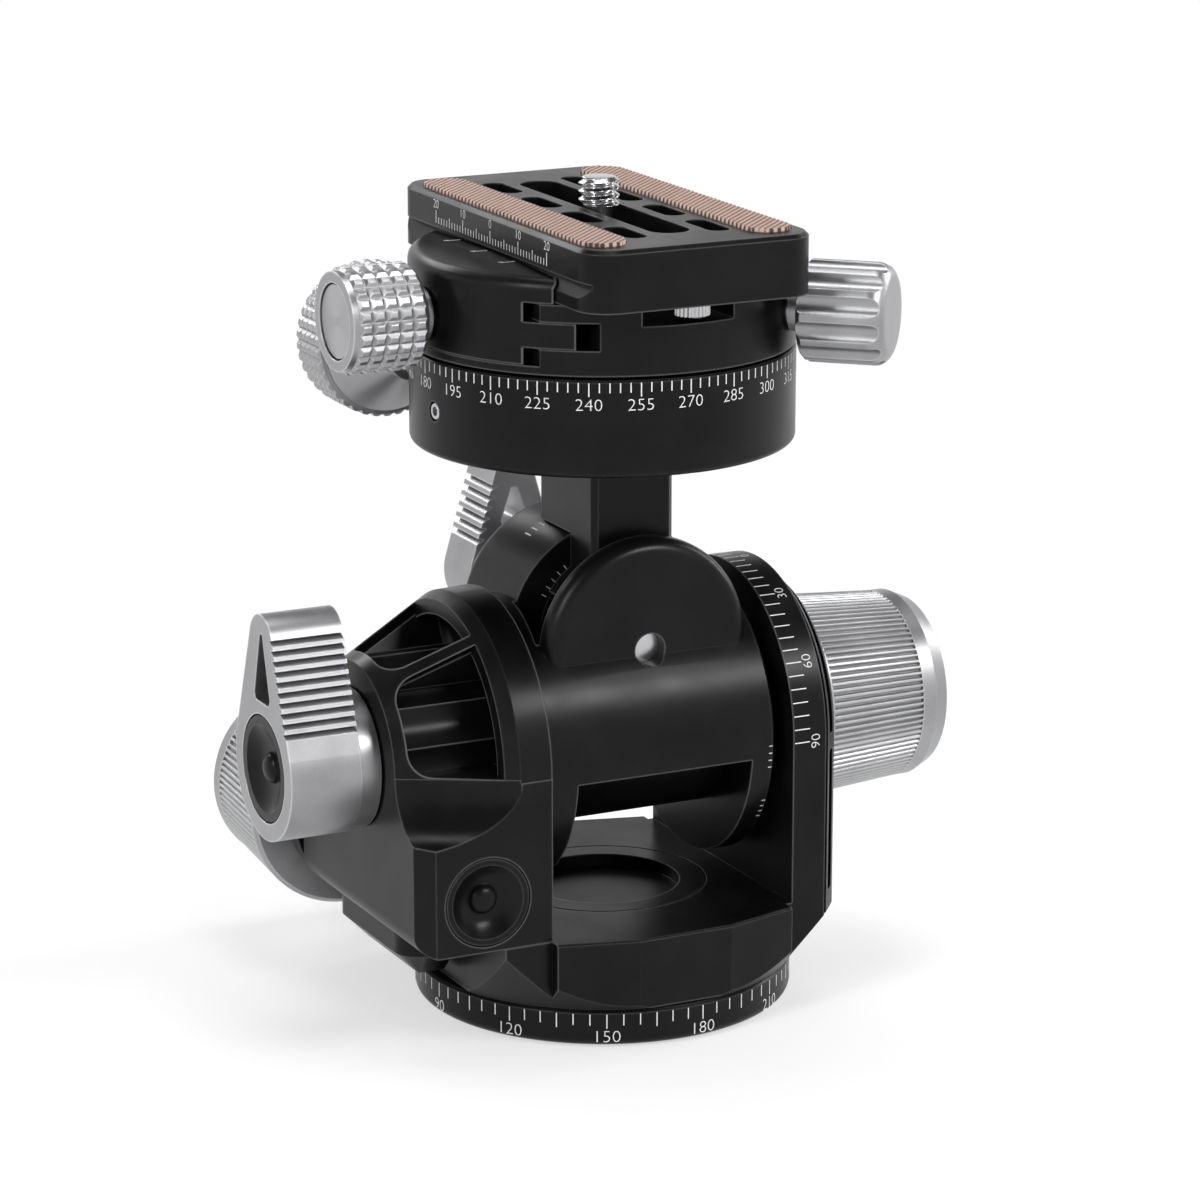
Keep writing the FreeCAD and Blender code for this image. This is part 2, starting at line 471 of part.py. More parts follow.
def left_housing():
    """Open housing about the tilt axis: ring, windowed cone over a fluted floor, coved block for the worm."""
    made = body("left_housing", ("0", "0", "tilt_height"))
    slope = "((ring_outer-hub_radius)/(hub_face-ring_edge))"
    shell = sketch(made, "XZ_Plane")
    outline(shell, [
        ("-housing_inner", "0"), ("-housing_inner", "ring_radius"), ("-ring_edge", "ring_outer"),
        ("-hub_face", "hub_radius"), ("-hub_face", "0"), ("-hub_face+shell", "0"),
        ("-hub_face+shell", "hub_radius-shell/2"),
        ("-ring_edge", "hub_radius-shell/2+(hub_face-shell-ring_edge)*" + slope),
        ("-housing_inner-plate_thick", "hub_radius-shell/2+(hub_face-shell-ring_edge)*" + slope),
        ("-housing_inner-plate_thick", "0"),
    ])
    spin(made, shell, "H_Axis")
    window = sketch(made, "XY_Plane", "0", FreeCAD.Rotation(VECTOR(1, 0, 0), -value("window_step")))
    run, rise = "(window_hub-window_ring)", "(window_ring_half-window_hub_half)"
    flank = "sqrt(%s^2+%s^2)" % (run, rise)
    bend = "(window_round*%s/(%s+%s))" % (run, flank, rise)
    near_x = "-window_hub+%s*%s/%s" % (bend, run, flank)
    near_y = "window_hub_half+%s*%s/%s" % (bend, rise, flank)
    outline(window, [
        ("-window_ring", "-window_ring_half"), ("-window_ring", "window_ring_half"),
        (near_x, near_y, "window_round", "left"), ("-window_hub", "window_hub_half-" + bend),
        ("-window_hub", "-window_hub_half+" + bend, "window_round", "left"), (near_x, "-(%s)" % near_y),
    ])
    cut = pocket(made, window, "ring_radius+2", Reversed=True)
    pattern(made, [cut], "3", "2*window_step", "X_Axis")
    floor = sketch(made, "YZ_Plane", "-hub_face+shell/2")
    angles = ["(floor_phase+%d*360/floor_flutes)" % number for number in range(int(SIZES["floor_flutes"]))]
    outline(floor, [("floor_radius*cos%s" % angle, "floor_radius*sin%s" % angle, "floor_flute", "right")
                    for angle in angles])
    pad(made, floor, "hub_face-housing_inner-(shell+plate_thick)/2")
    low = "foot_top-tilt_height"
    block = sketch(made, "YZ_Plane", "-hub_face")
    box(block, "-block_front", "block_front", low, "cove_rise")
    pad(made, block, "hub_face-ring_edge")
    stations = []
    for x, radius in (("-hub_face-gap", "(hub_radius-gap*%s)" % slope), ("-ring_edge", "ring_outer")):
        section = sketch(made, "YZ_Plane", x)
        circle(section, "-%s-cove-slack" % radius, "cove_rise", "cove")
        stations.append(section)
    cove = made.newObject("PartDesign::SubtractiveLoft", "left_housing_cove")
    cove.Profile = stations[0]
    cove.Sections = [stations[1]]
    cove.Ruled = True
    mirrored(made, [checked_cut(made, cove)], "XZ_Plane")
    skirt = sketch(made, "YZ_Plane", "-ring_edge")
    box(skirt, "-block_front", "block_front", low, "0")
    pad(made, skirt, "ring_edge-housing_inner")
    softened(made, "Chamfer", "block_bevel",
             lambda edge: straight(edge, VECTOR(0, 0, 1)) and near(edge.CenterOfMass.x, "-hub_face")
             and near(abs(edge.CenterOfMass.y), "block_front"))
    softened(made, "Fillet", "block_round",
             lambda edge: straight(edge, VECTOR(0, 1, 0)) and near(edge.CenterOfMass.x, "-hub_face")
             and near(edge.CenterOfMass.z, low))
    lobe = sketch(made, "XY_Plane", low + "-lobe_depth")
    outline(lobe, [
        ("-lobe_right", "-lobe_front"), ("-lobe_right", "lobe_back"),
        ("-lobe_left+lobe_round", "lobe_back", "lobe_round", "left"), ("-lobe_left", "lobe_back-lobe_round"),
        ("-lobe_left", "-lobe_front+lobe_round", "lobe_round", "left"),
        ("-lobe_left+lobe_round", "-lobe_front"),
    ])
    pad(made, lobe, "lobe_depth+1")
    softened(made, "Chamfer", "lobe_bevel",
             lambda edge: straight(edge, VECTOR(0, 1, 0)) and near(edge.CenterOfMass.x, "-lobe_left")
             and near(edge.CenterOfMass.z, low + "-lobe_depth"))
    bore = sketch(made, "XZ_Plane")
    outline(bore, [
        ("-hub_face", "0"), ("-hub_face", "journal_left+bush_wall"),
        ("-tilt_worm_x-case_half", "journal_left+bush_wall"), ("-tilt_worm_x-case_half", "case_radius"),
        ("-tilt_worm_x+case_half", "case_radius"), ("-tilt_worm_x+case_half", "journal_left+bush_wall"),
        ("-housing_inner", "journal_left+bush_wall"), ("-housing_inner", "0"),
    ])
    spin(made, bore, "H_Axis", "Groove")
    channel = sketch(made, "XZ_Plane", "block_front")
    circle(channel, "-tilt_worm_x", "-tilt_worm_drop", "tilt_worm_radius+gap")
    pocket(made, channel, "2*block_front", Reversed=False)
    seat = sketch(made, "XZ_Plane", "block_front")
    circle(seat, "-tilt_worm_x", "-tilt_worm_drop", "worm_cap_radius")
    pocket(made, seat, "worm_cap_thick", Reversed=False)


# worm drives
WORM_HALF = "(worm_turns*worm_pitch/2)"


def worm(name, radius, start, end, at, turn):
    """Worm with V grooves on a plain shaft that runs from start to end along its own axis."""
    half = WORM_HALF
    profile = [("0", start), ("worm_shaft", start), ("worm_shaft", "-" + half), (radius, "-" + half)]
    for number in range(int(SIZES["worm_turns"])):
        middle = "-%s+(%d+0.5)*worm_pitch" % (half, number)
        profile.append((radius, middle + "-worm_pitch*0.35"))
        profile.append((radius + "-worm_groove", middle))
        profile.append((radius, middle + "+worm_pitch*0.35"))
    profile += [(radius, half), ("worm_shaft", half), ("worm_shaft", end), ("0", end)]
    turned(name, profile, at, turn)


def toothed_wheel(name, bore, tip, half, at, turn):
    """Worm wheel with V gashes between its teeth."""
    turned(name, tube(bore, tip, "-" + half, half), at, turn)
    made = NODES[-1]
    gash = sketch(made, "XY_Plane", "-" + half)
    width = "((%s)*3.1416/wheel_teeth)" % tip
    outline(gash, [
        (tip + "-tooth_depth", "-%s*0.2" % width), (tip + "+0.5", "-%s*0.75" % width),
        (tip + "+0.5", "%s*0.75" % width), (tip + "-tooth_depth", "%s*0.2" % width),
    ])
    one = pocket(made, gash, "2*" + half, Reversed=True)
    return pattern(made, [one], "wheel_teeth", "360")


def bearing_bush(name, inner, outer, low, high, at, turn):
    turned(name, tube(inner + "+running", outer, low, high), at, turn)


def ribbed_knob(name, at, turn):
    """Large turned knob: straight ribs on a slight taper, plain rounded rim and a shallow turned face."""
    turned(name, [
        ("worm_shaft", "0"), ("knob_large-0.6", "0"), ("knob_large", "0.6"),
        ("knob_small", "knob_body"), ("knob_small", "knob_length-knob_round"),
        ("knob_face", "knob_length"), ("knob_disc", "knob_length"), ("knob_disc", "knob_length-0.8"),
        ("worm_shaft", "knob_length-0.8"),
    ], at, turn)
    made = NODES[-1]
    taper = "((knob_large-knob_small)/(knob_body-0.6))"
    rib = sketch(made, "XY_Plane")
    lean = math.degrees(math.atan(value(taper)))
    rib.AttachmentOffset = FreeCAD.Placement(VECTOR(), FreeCAD.Rotation(VECTOR(0, 1, 0), -lean))
    rib.setExpression(".AttachmentOffset.Base.x", bound("knob_large-rib_start*" + taper))
    rib.setExpression(".AttachmentOffset.Base.z", bound("rib_start"))
    outline(rib, [("-rib_depth", "0"), ("0.4", "-rib_half*1.3"), ("0.4", "rib_half*1.3")])
    one = pocket(made, rib, "knob_body-rib_start", Reversed=True)
    pattern(made, [one], "ribs", "360")


TILT_WORM_HEIGHT = "tilt_height-tilt_worm_drop"


def tilt_drive():
    """Worm along Y in the housing's block; its wheel sits on the tilt shaft."""
    worm("tilt_worm", "tilt_worm_radius", "-block_front+worm_cap_thick+gap",
         "tilt_knob_start+knob_length-shaft_sunk", ("-tilt_worm_x", "0", TILT_WORM_HEIGHT), ALONG_Y)
    ribbed_knob("tilt_knob", ("-tilt_worm_x", "tilt_knob_start", TILT_WORM_HEIGHT), ALONG_Y)
    turned("tilt_knob_collar", [
        ("worm_shaft+running", "0"), ("collar_radius", "0"),
        ("collar_radius", "collar_length-collar_round", "collar_round", "left"),
        ("collar_radius-collar_round", "collar_length"), ("worm_shaft+running", "collar_length"),
    ], ("-tilt_worm_x", "block_front", TILT_WORM_HEIGHT), ALONG_Y)
    turned_copies("tilt_worm_bushes", tube("worm_shaft+running", "tilt_worm_radius+gap", "0", "5"), [
        (("-tilt_worm_x", "block_front-8", TILT_WORM_HEIGHT), ALONG_Y),
        (("-tilt_worm_x", "-block_front+8", TILT_WORM_HEIGHT), ALONG_MINUS_Y),
    ])
    turned("worm_cap", [
        ("0", "0"), ("worm_cap_radius-slack", "0"), ("worm_cap_radius-slack", "worm_cap_thick"),
        ("worm_cap_dish", "worm_cap_thick"), ("cap_ball+0.4", "worm_cap_thick-cap_dent"),
        ("cap_ball", "worm_cap_thick-cap_dent"), ("cap_ball-0.1", "worm_cap_thick-cap_dent+0.8"),
        ("cap_ball-0.8", "worm_cap_thick-0.3"), ("0", "worm_cap_thick"),
    ], ("-tilt_worm_x", "-block_front+worm_cap_thick", TILT_WORM_HEIGHT), ALONG_MINUS_Y)
    toothed_wheel("tilt_wheel", "journal_left", "case_radius-gap", "tilt_wheel_half",
                  ("-tilt_worm_x", "0", "tilt_height"), ALONG_X)


# barrel on the tilt axis
def barrel():
    """Barrel with two end drums, relieved below, a thin front ear, a thick rear ear and the neck's slot."""
    made = body("barrel", ("0", "0", "tilt_height"))
    drum = sketch(made, "XZ_Plane")
    outline(drum, [
        ("-barrel_left", "0"), ("-barrel_left", "barrel_radius-0.5"), ("-barrel_left+0.5", "barrel_radius"),
        ("barrel_right-0.5", "barrel_radius"), ("barrel_right", "barrel_radius-0.5"), ("barrel_right", "0"),
    ])
    spin(made, drum, "H_Axis")
    ear = sketch(made, "YZ_Plane")
    flat = "roll_rise+ear_radius-ear_round"
    outline(ear, [
        ("-ear_face", "roll_rise"), ("ear_face", "roll_rise"), ("ear_face", flat, "ear_round", "left"),
        ("ear_face-ear_round", "roll_rise+ear_radius"),
        ("-ear_face+ear_round", "roll_rise+ear_radius", "ear_round", "left"), ("-ear_face", flat),
    ])
    roll_line(ear)
    spin(made, ear, "Axis0")
    relief = sketch(made, "XZ_Plane")
    box(relief, "-relief_half", "relief_half", "-barrel_radius-1", "-relief_radius")
    spin(made, relief, "H_Axis", "Groove", Angle="relief_angle", Midplane=True)
    slot = sketch(made, "YZ_Plane")
    box(slot, "-slot_half", "-slot_back", "roll_rise", "roll_rise+slot_radius")
    roll_line(slot)
    spin(made, slot, "Axis0", "Groove", Angle="180", Midplane=True)
    well = sketch(made, "YZ_Plane")
    wheel = "neck_hub+wheel_rise+gap"
    outline(well, [
        ("-slot_half", "roll_rise"), ("-slot_half", "roll_rise+neck_hub+gap"),
        ("-wheel_pocket_half", "roll_rise+neck_hub+gap"), ("-wheel_pocket_half", "roll_rise+" + wheel),
        ("wheel_pocket_half", "roll_rise+" + wheel), ("wheel_pocket_half", "roll_rise+neck_hub+gap"),
        ("slot_half", "roll_rise+neck_hub+gap"), ("slot_half", "roll_rise"),
    ])
    roll_line(well)
    spin(made, well, "Axis0", "Groove")
    journal = sketch(made, "YZ_Plane", "barrel_right")
    circle(journal, "0", "0", "journal_right")
    pad(made, journal, "foot_side+cover_thick-barrel_right")
    channel = sketch(made, "YZ_Plane", "-%s-2" % WORM_HALF)
    circle(channel, "0", "0", "roll_worm_radius+gap")
    pocket(made, channel, WORM_HALF + "+2+foot_side+cover_thick", Reversed=True)
    shaft = sketch(made, "YZ_Plane", "-barrel_left")
    circle(shaft, "0", "0", "journal_left")
    pocket(made, shaft, "barrel_left-relief_half+1", Reversed=True)
    front = sketch(made, "XZ_Plane", "barrel_radius")
    circle(front, "0", "roll_rise", "pin_radius+running")
    pocket(made, front, "barrel_radius", Reversed=False)
    back = sketch(made, "XZ_Plane", "0")
    circle(back, "0", "roll_rise", "pin_big+running")
    pocket(made, back, "ear_face", Reversed=False)
    spot_face = sketch(made, "XZ_Plane", "-ear_face")
    circle(spot_face, "0", "roll_rise", "flare_radius+gap")
    pocket(made, spot_face, "barrel_radius-ear_face", Reversed=False)


def roll_line(drawing):
    """Construction line along the roll axis, to turn a profile about."""
    height = value("roll_rise")
    line = drawing.addGeometry(Part.LineSegment(VECTOR(-1, height, 0), VECTOR(1, height, 0)), True)
    for point, along in ((1, "-1"), (2, "1")):
        fix(drawing, "DistanceX", line, point, along)
        fix(drawing, "DistanceY", line, point, "roll_rise")


def barrel_inside():
    """Tilt shaft pressed into the barrel, its bushes in the frame, and the bush of the roll worm."""
    start = "-hub_face"
    turned("tilt_shaft", [
        ("bolt_radius+running", start), ("journal_left", start), ("journal_left", "-relief_half-0.5"),
        ("0", "-relief_half-0.5"), ("0", "-tilt_worm_x+2"), ("bolt_radius+running", "-tilt_worm_x+2"),
    ], ("0", "0", "tilt_height"), ALONG_X)
    bearing_bush("tilt_bush_left", "journal_left", "journal_left+bush_wall", "-hub_face",
                 "-tilt_worm_x-case_half", ("0", "0", "tilt_height"), ALONG_X)
    bearing_bush("tilt_bush_inner", "journal_left", "journal_left+bush_wall", "-tilt_worm_x+case_half",
                 "-housing_inner", ("0", "0", "tilt_height"), ALONG_X)
    bearing_bush("tilt_bush_right", "journal_right", "journal_right+bush_wall", "wall_inner",
                 "foot_side+cover_thick", ("0", "0", "tilt_height"), ALONG_X)
    bearing_bush("roll_worm_bush", "worm_shaft", "roll_worm_radius+gap", "barrel_right",
                 "foot_side+cover_thick", ("0", "0", "tilt_height"), ALONG_X)


# lock levers
def lever(name, shape, hole, grooves, dish, at, turn, collar):
    """Flat lever: round hub and tip joined by tangents, a three-cornered hole, grooves down one flank."""
    made = body(name, at, turn)
    hub, tip, reach, thick = shape
    lean = "((%s-%s)/%s)" % (hub, tip, reach)
    across = "sqrt(1-%s^2)" % lean
    blade = sketch(made, "XY_Plane")
    outline(blade, [
        (hub + "*" + across, hub + "*" + lean),
        (tip + "*" + across, reach + "+" + tip + "*" + lean, tip, "left"),
        ("-" + tip + "*" + across, reach + "+" + tip + "*" + lean),
        ("-" + hub + "*" + across, hub + "*" + lean, hub, "left"), ("0", "-" + hub, hub, "left"),
    ])
    pad(made, blade, thick)
    doc.recompute()
    low, high, half = hole
    window = sketch(made, "XY_Plane")
    outline(window, [("-" + half, low), (half, low), ("lever_corner/2", high), ("-lever_corner/2", high)])
    pocket(made, window, thick, Reversed=True)
    softened(made, "Fillet", "lever_corner", lambda edge: straight(edge, VECTOR(0, 0, 1))
             and near(abs(edge.CenterOfMass.x), half) and near(edge.CenterOfMass.y, low))
    first, step, count = grooves
    notches = sketch(made, "XY_Plane")
    for number in range(int(value(count))):
        level = "(%s+%d*%s)" % (first, number, step)
        flank = "((%s-%s*%s)/%s)" % (hub, level, lean, across)
        outline(notches, [
            (flank + "-lever_groove_depth", level), (flank + "+0.6", "%s-%s*0.55" % (level, step)),
            (flank + "+0.6", "%s+%s*0.25" % (level, step)),
        ])
    pocket(made, notches, thick, Reversed=True)
    seat = sketch(made, "XY_Plane", thick)
    circle(seat, "0", "0", dish + "+slack")
    pocket(made, seat, "dish_seat", Reversed=False)
    neck = sketch(made, "XZ_Plane")
    outline(neck, collar)
    spin(made, neck)
    bore = sketch(made, "XY_Plane", "-20")
    circle(bore, "0", "0", "bolt_radius")
    pocket(made, bore, "40", Reversed=True)
    turned(name + "_disc", [
        ("0", "0"), (dish, "0"), (dish, "dish_seat"), (dish + "-1.2", "dish_seat"), ("2.4", "dish_seat-1.3"),
        ("1.9", "dish_seat-1.3"), ("1.7", "dish_seat-0.6"), ("1", "dish_seat-0.1"), ("0", "dish_seat"),
    ], at, turn)
    disc = NODES[-1]
    local = turn.multVec(VECTOR(0, 0, 1))
    for letter, text, part in zip("xyz", at, local):
        along = "%s+%d*(%s-dish_seat)" % (text, round(part), thick)
        disc.setExpression(".Placement.Base." + letter, bound(along))


def levers():
    tilt_turn = FreeCAD.Rotation(VECTOR(0, -1, 0), VECTOR(0, 0, 1), VECTOR(-1, 0, 0), "ZYX")
    roll_turn = FreeCAD.Rotation(VECTOR(-1, 0, 0), VECTOR(0, 0, 1), VECTOR(0, 1, 0), "ZYX")
    seat = "-(lever_start-hub_face-gap)"
    lever("tilt_lever", ("lever_hub", "lever_tip", "lever_reach", "lever_thick"),
          ("lever_hole_low", "lever_hole_high", "lever_hole_half"),
          ("lever_groove_low", "lever_groove_pitch", "lever_grooves"), "dish_radius",
          ("-lever_start", "0", "tilt_height"), tilt_turn,
          tube("bolt_radius-1", "lever_collar", seat, "1"))
    end = "lever_start+lever_thick-dish_seat-slack"
    turned("tilt_lock_bolt", [
        ("0", "tilt_worm_x-1.5"), ("bolt_radius", "tilt_worm_x-1.5"), ("bolt_radius", end), ("0", end),
    ], ("0", "0", "tilt_height"), ALONG_MINUS_X)
    flare = "-(small_start-ear_face-gap-flare_cone)"
    lever("roll_lever", ("small_hub", "small_tip", "small_reach", "small_thick"),
          ("small_hole_low", "small_hole_high", "small_hole_half"),
          ("small_groove_low", "small_groove_pitch", "small_grooves"), "small_dish",
          ("0", "small_start", "tilt_height+roll_rise"), roll_turn,
          tube("bolt_radius-1", "small_hub-gap", flare, "1"))
    turned("roll_collar", [
        ("pin_big+running", "0"), ("flare_radius-0.5", "0"), ("flare_radius", "0.5"), ("flare_radius", "1.5"),
        ("small_hub+0.3", "flare_cone-0.1"), ("pin_big+running", "flare_cone-0.1"),
    ], ("0", "ear_face+gap", "tilt_height+roll_rise"), ALONG_Y)


# neck on the roll axis
NECK_SCREWS = (("0", "-neck_screw_front"), ("neck_screw_side", "neck_screw_back"),
               ("-neck_screw_side", "neck_screw_back"))


def neck():
    """Stem with bevelled front edges; its hub turns in the barrel and its back clears the thick rear ear."""
    made = body("neck", ("0", "0", "tilt_height+roll_rise"))
    stem = sketch(made, "XY_Plane")
    outline(stem, [
        ("-stem_half+stem_bevel", "-stem_front"), ("stem_half-stem_bevel", "-stem_front"),
        ("stem_half", "-stem_front+stem_bevel"), ("stem_half", "stem_back"), ("-stem_half", "stem_back"),
        ("-stem_half", "-stem_front+stem_bevel"),
    ])
    top = "ring_bottom-tilt_height-roll_rise"
    pad(made, stem, top)
    relief = sketch(made, "XZ_Plane", "slot_back+gap")
    circle(relief, "0", "0", "ear_radius+gap")
    pocket(made, relief, "slot_back+2*gap+stem_back", Reversed=False)
    hub = sketch(made, "YZ_Plane")
    side = "slot_half-gap"
    middle = "roll_wheel_half+gap"
    outline(hub, [
        ("-(%s)" % side, "0"), ("-(%s)" % side, "neck_hub"), ("-(%s)" % middle, "neck_hub"),
        ("-(%s)" % middle, "roll_wheel_bore"), (middle, "roll_wheel_bore"), (middle, "neck_hub"),
        (side, "neck_hub"), (side, "0"),
    ])
    spin(made, hub, "H_Axis")
    sector = sketch(made, "XZ_Plane", "slot_back+gap")
    spread, rise = "sector_radius*sin(sector_half_angle)", "sector_radius*cos(sector_half_angle)"
    outline(sector, [("0", "0"), (spread, rise, "sector_radius", "left"), ("-" + spread, rise)])
    pad(made, sector, "slot_half-slot_back-2*gap")
    bore = sketch(made, "XZ_Plane", "slot_half")
    circle(bore, "0", "0", "pin_big")
    pocket(made, bore, "2*slot_half", Reversed=False)
    for x, y in NECK_SCREWS:
        hole = sketch(made, "XY_Plane", top + "-neck_screw_depth")
        circle(hole, x, y, "screw_radius")
        pocket(made, hole, "neck_screw_depth", Reversed=True)


def neck_inside():
    """Roll wheel segment under the hub, the roll pin and the screws that hold the panning ring."""
    toothed_wheel("roll_wheel", "roll_wheel_bore", "neck_hub+wheel_rise", "roll_wheel_half",
                  ("0", "0", "tilt_height+roll_rise"), ALONG_Y)
    made = NODES[-1]
    gap = sketch(made, "XY_Plane", "-roll_wheel_half")
    reach = "(neck_hub+wheel_rise+2)"
    spread = reach + "*tan(sector_half_angle+4)"
    outline(gap, [
        ("0", "0"), (spread, "-" + reach), (spread, "-2*" + reach), ("-" + spread, "-2*" + reach),
        ("-" + spread, "-" + reach),
    ])
    pocket(made, gap, "2*roll_wheel_half", Reversed=True)
    end = "small_start+small_thick-dish_seat-slack"
    turned("roll_pin", [
        ("0", "-ear_face+pin_recess"), ("pin_radius", "-ear_face+pin_recess"),
        ("pin_radius", "-slot_half+gap"), ("pin_big", "-slot_half+gap"), ("pin_big", end), ("0", end),
    ], ("0", "0", "tilt_height+roll_rise"), ALONG_Y)
    screw = [
        ("0", "-neck_screw_depth+1"), ("screw_radius", "-neck_screw_depth+1"),
        ("screw_radius", "pan_floor-2.6"), ("screw_head", "pan_floor-2.6"),
        ("screw_head", "pan_floor-0.2"), ("0", "pan_floor-0.2"),
    ]
    turned_copies("neck_screws", screw, [((x, y, "ring_bottom"), ALONG_Z) for x, y in NECK_SCREWS])
    worm("roll_worm", "roll_worm_radius", "-%s-1.5" % WORM_HALF, "knob_start+knob_length-shaft_sunk",
         ("0", "0", "tilt_height"), ALONG_X)
    ribbed_knob("roll_knob", ("knob_start", "0", "tilt_height"), ALONG_X)


# panning ring and its worm
SET_SCREWS = (("set_screw_left", "set_screw_left_rise"), ("set_screw_back", "set_screw_back_rise"))


def pan_ring():
    """Ring on top of the neck: rounded lower edge, a well for the worm wheel and a bore for the worm."""
    made = body("pan_ring", ("0", "0", "ring_bottom"))
    drawing = sketch(made, "XZ_Plane")
    well = "pan_wheel_tip+gap"
    outline(drawing, [
        ("pin_big+running", "0"),
        ("pan_radius-pan_round", "0", "pan_round", "left"), ("pan_radius", "pan_round"),
        ("pan_radius", "pan_height-edge_break"), ("pan_radius-edge_break", "pan_height"),
        (well, "pan_height"), (well, "pan_floor"),
        ("pin_big+running", "pan_floor"),
    ])
    spin(made, drawing)
    tunnel = sketch(made, "XZ_Plane", "-pan_radius")
    circle(tunnel, "-pan_worm_x", "pan_worm_rise", "pan_worm_radius+gap")
    pocket(made, tunnel, "pan_radius+12", Reversed=True)
    holes = sketch(made, "XY_Plane")
    for x, y in NECK_SCREWS:
        circle(holes, x, y, "screw_radius+slack")
    pocket(made, holes, "pan_floor", Reversed=True)
    sinks = sketch(made, "XY_Plane", "pan_floor-2.7")
    for x, y in NECK_SCREWS:
        circle(sinks, x, y, "screw_head+slack")
    pocket(made, sinks, "3", Reversed=True)
    for angle, level in SET_SCREWS:
        hole = sketch(made, "YZ_Plane", "0", FreeCAD.Rotation(VECTOR(0, 1, 0), value(angle)))
        circle(hole, "0", level, "set_screw+0.05")
        hole.setExpression(".AttachmentOffset.Base.x", bound("(pan_radius-set_screw_depth)*sin(%s)" % angle))
        hole.setExpression(".AttachmentOffset.Base.z", bound("(pan_radius-set_screw_depth)*cos(%s)" % angle))
        pocket(made, hole, "set_screw_depth+1", Reversed=True)


def pan_inside():
    """Worm, wheel, spindle, glide and screws of the panning clamp."""
    at = ("-pan_worm_x", "0", "ring_bottom+pan_worm_rise")
    worm("pan_worm", "pan_worm_radius", "-%s-1.5" % WORM_HALF, "pan_knob_end-2", at, ALONG_Y)
    bearing_bush("pan_worm_bush", "worm_shaft", "pan_worm_radius+gap", WORM_HALF + "+1", WORM_HALF + "+5",
                 at, ALONG_Y)
    start = "sqrt(pan_radius^2-(pan_worm_x-pan_knob_stem)^2)+gap"
    turned("pan_knob", [
        ("worm_shaft", start), ("pan_knob_stem", start), ("pan_knob_stem", start + "+1.5"),
        ("pan_knob_rim-1.2", "pan_knob_cone-0.6"), ("pan_knob_rim-1.2", "pan_knob_cone")]
        + knurl_profile("pan_knob_rim", "pan_knob_cone", "pan_knob_end-0.8") + [
        ("pan_knob_rim-1.2", "pan_knob_end"), ("7.5", "pan_knob_end"), ("7.5", "pan_knob_end-0.8"),
        ("worm_shaft", "pan_knob_end-0.8"),
    ], at, ALONG_Y)
    cross_knurl("pan_knob_rim", "pan_knob_cone", "pan_knob_end",
                "round(knurl_rows*pan_knob_rim/jaw_knob_radius)")
    toothed_wheel("pan_wheel", "spindle_neck", "pan_wheel_tip", "pan_wheel_half",
                  ("0", "0", "ring_bottom+pan_worm_rise"), ALONG_Z)
    turned("clamp_spindle", [
        ("0", "1"), ("pin_big", "1"), ("pin_big", "pan_floor+gap"), ("spindle_neck", "pan_floor+gap"),
        ("spindle_neck", "pan_height+clamp_gap+layer_height+2"), ("0", "pan_height+clamp_gap+layer_height+2"),
    ], ("0", "0", "ring_bottom"))
    turned("pan_glide", tube("pan_wheel_tip+2", "pan_radius-2.5", "pan_height", "pan_height+clamp_gap-0.1"),
           ("0", "0", "ring_bottom"))
    spots = []
    for angle, level in SET_SCREWS:
        turn = FreeCAD.Rotation(VECTOR(0, 0, 1), value(angle)).multiply(ALONG_X)
        spots.append((("0", "0", "ring_bottom+" + level), turn))
    turned_copies("ring_set_screws", [
        ("0", "pan_radius-set_screw_depth+0.1"), ("set_screw", "pan_radius-set_screw_depth+0.1"),
        ("set_screw", "pan_radius-set_screw_recess"), ("0.7", "pan_radius-set_screw_recess"),
        ("0", "pan_radius-set_screw_recess-0.5"),
    ], spots)


def knurl_profile(radius, low, high):
    """Ring grooves that part the knurled band into its columns."""
    points = []
    pitch = "((%s-(%s))/knurl_columns)" % (high, low)
    for number in range(int(SIZES["knurl_columns"])):
        points.append((radius + "-knurl_depth", "%s+%d*%s+0.1" % (low, number, pitch)))
        points.append((radius, "%s+%.2f*%s" % (low, number + 0.27, pitch)))
        points.append((radius, "%s+%.2f*%s" % (low, number + 0.80, pitch)))
    points.append((radius + "-knurl_depth", high))
    return points


def cross_knurl(radius, low, high, count):
    """Lengthwise V grooves that cut the ring columns into square pyramids."""
    made = NODES[-1]
    groove = sketch(made, "XY_Plane", low)
    half = "(3.1416*%s/(%s))" % (radius, count)
    outline(groove, [(radius + "-knurl_depth", "0"), (radius + "+gap", "-" + half), (radius + "+gap", half)])
    one = pocket(made, groove, "%s-(%s)" % (high, low), Reversed=True)
    pattern(made, [one], count, "360")


# clamp
CLAMP = ("0", "0", "ring_bottom+pan_height+clamp_gap")
PLATE_IN_CLAMP = "(floor_height+plate_lift)"


def crown(low):
    """Turned outline that the clamp body and the moving jaw share."""
    return [
        ("0", low), ("pan_radius", low), ("pan_radius", "clamp_rim-clamp_round", "clamp_round", "left"),
        ("pan_radius-clamp_round", "clamp_rim"), ("plate_half-2", "clamp_crown"), ("0", "clamp_crown"),
    ]


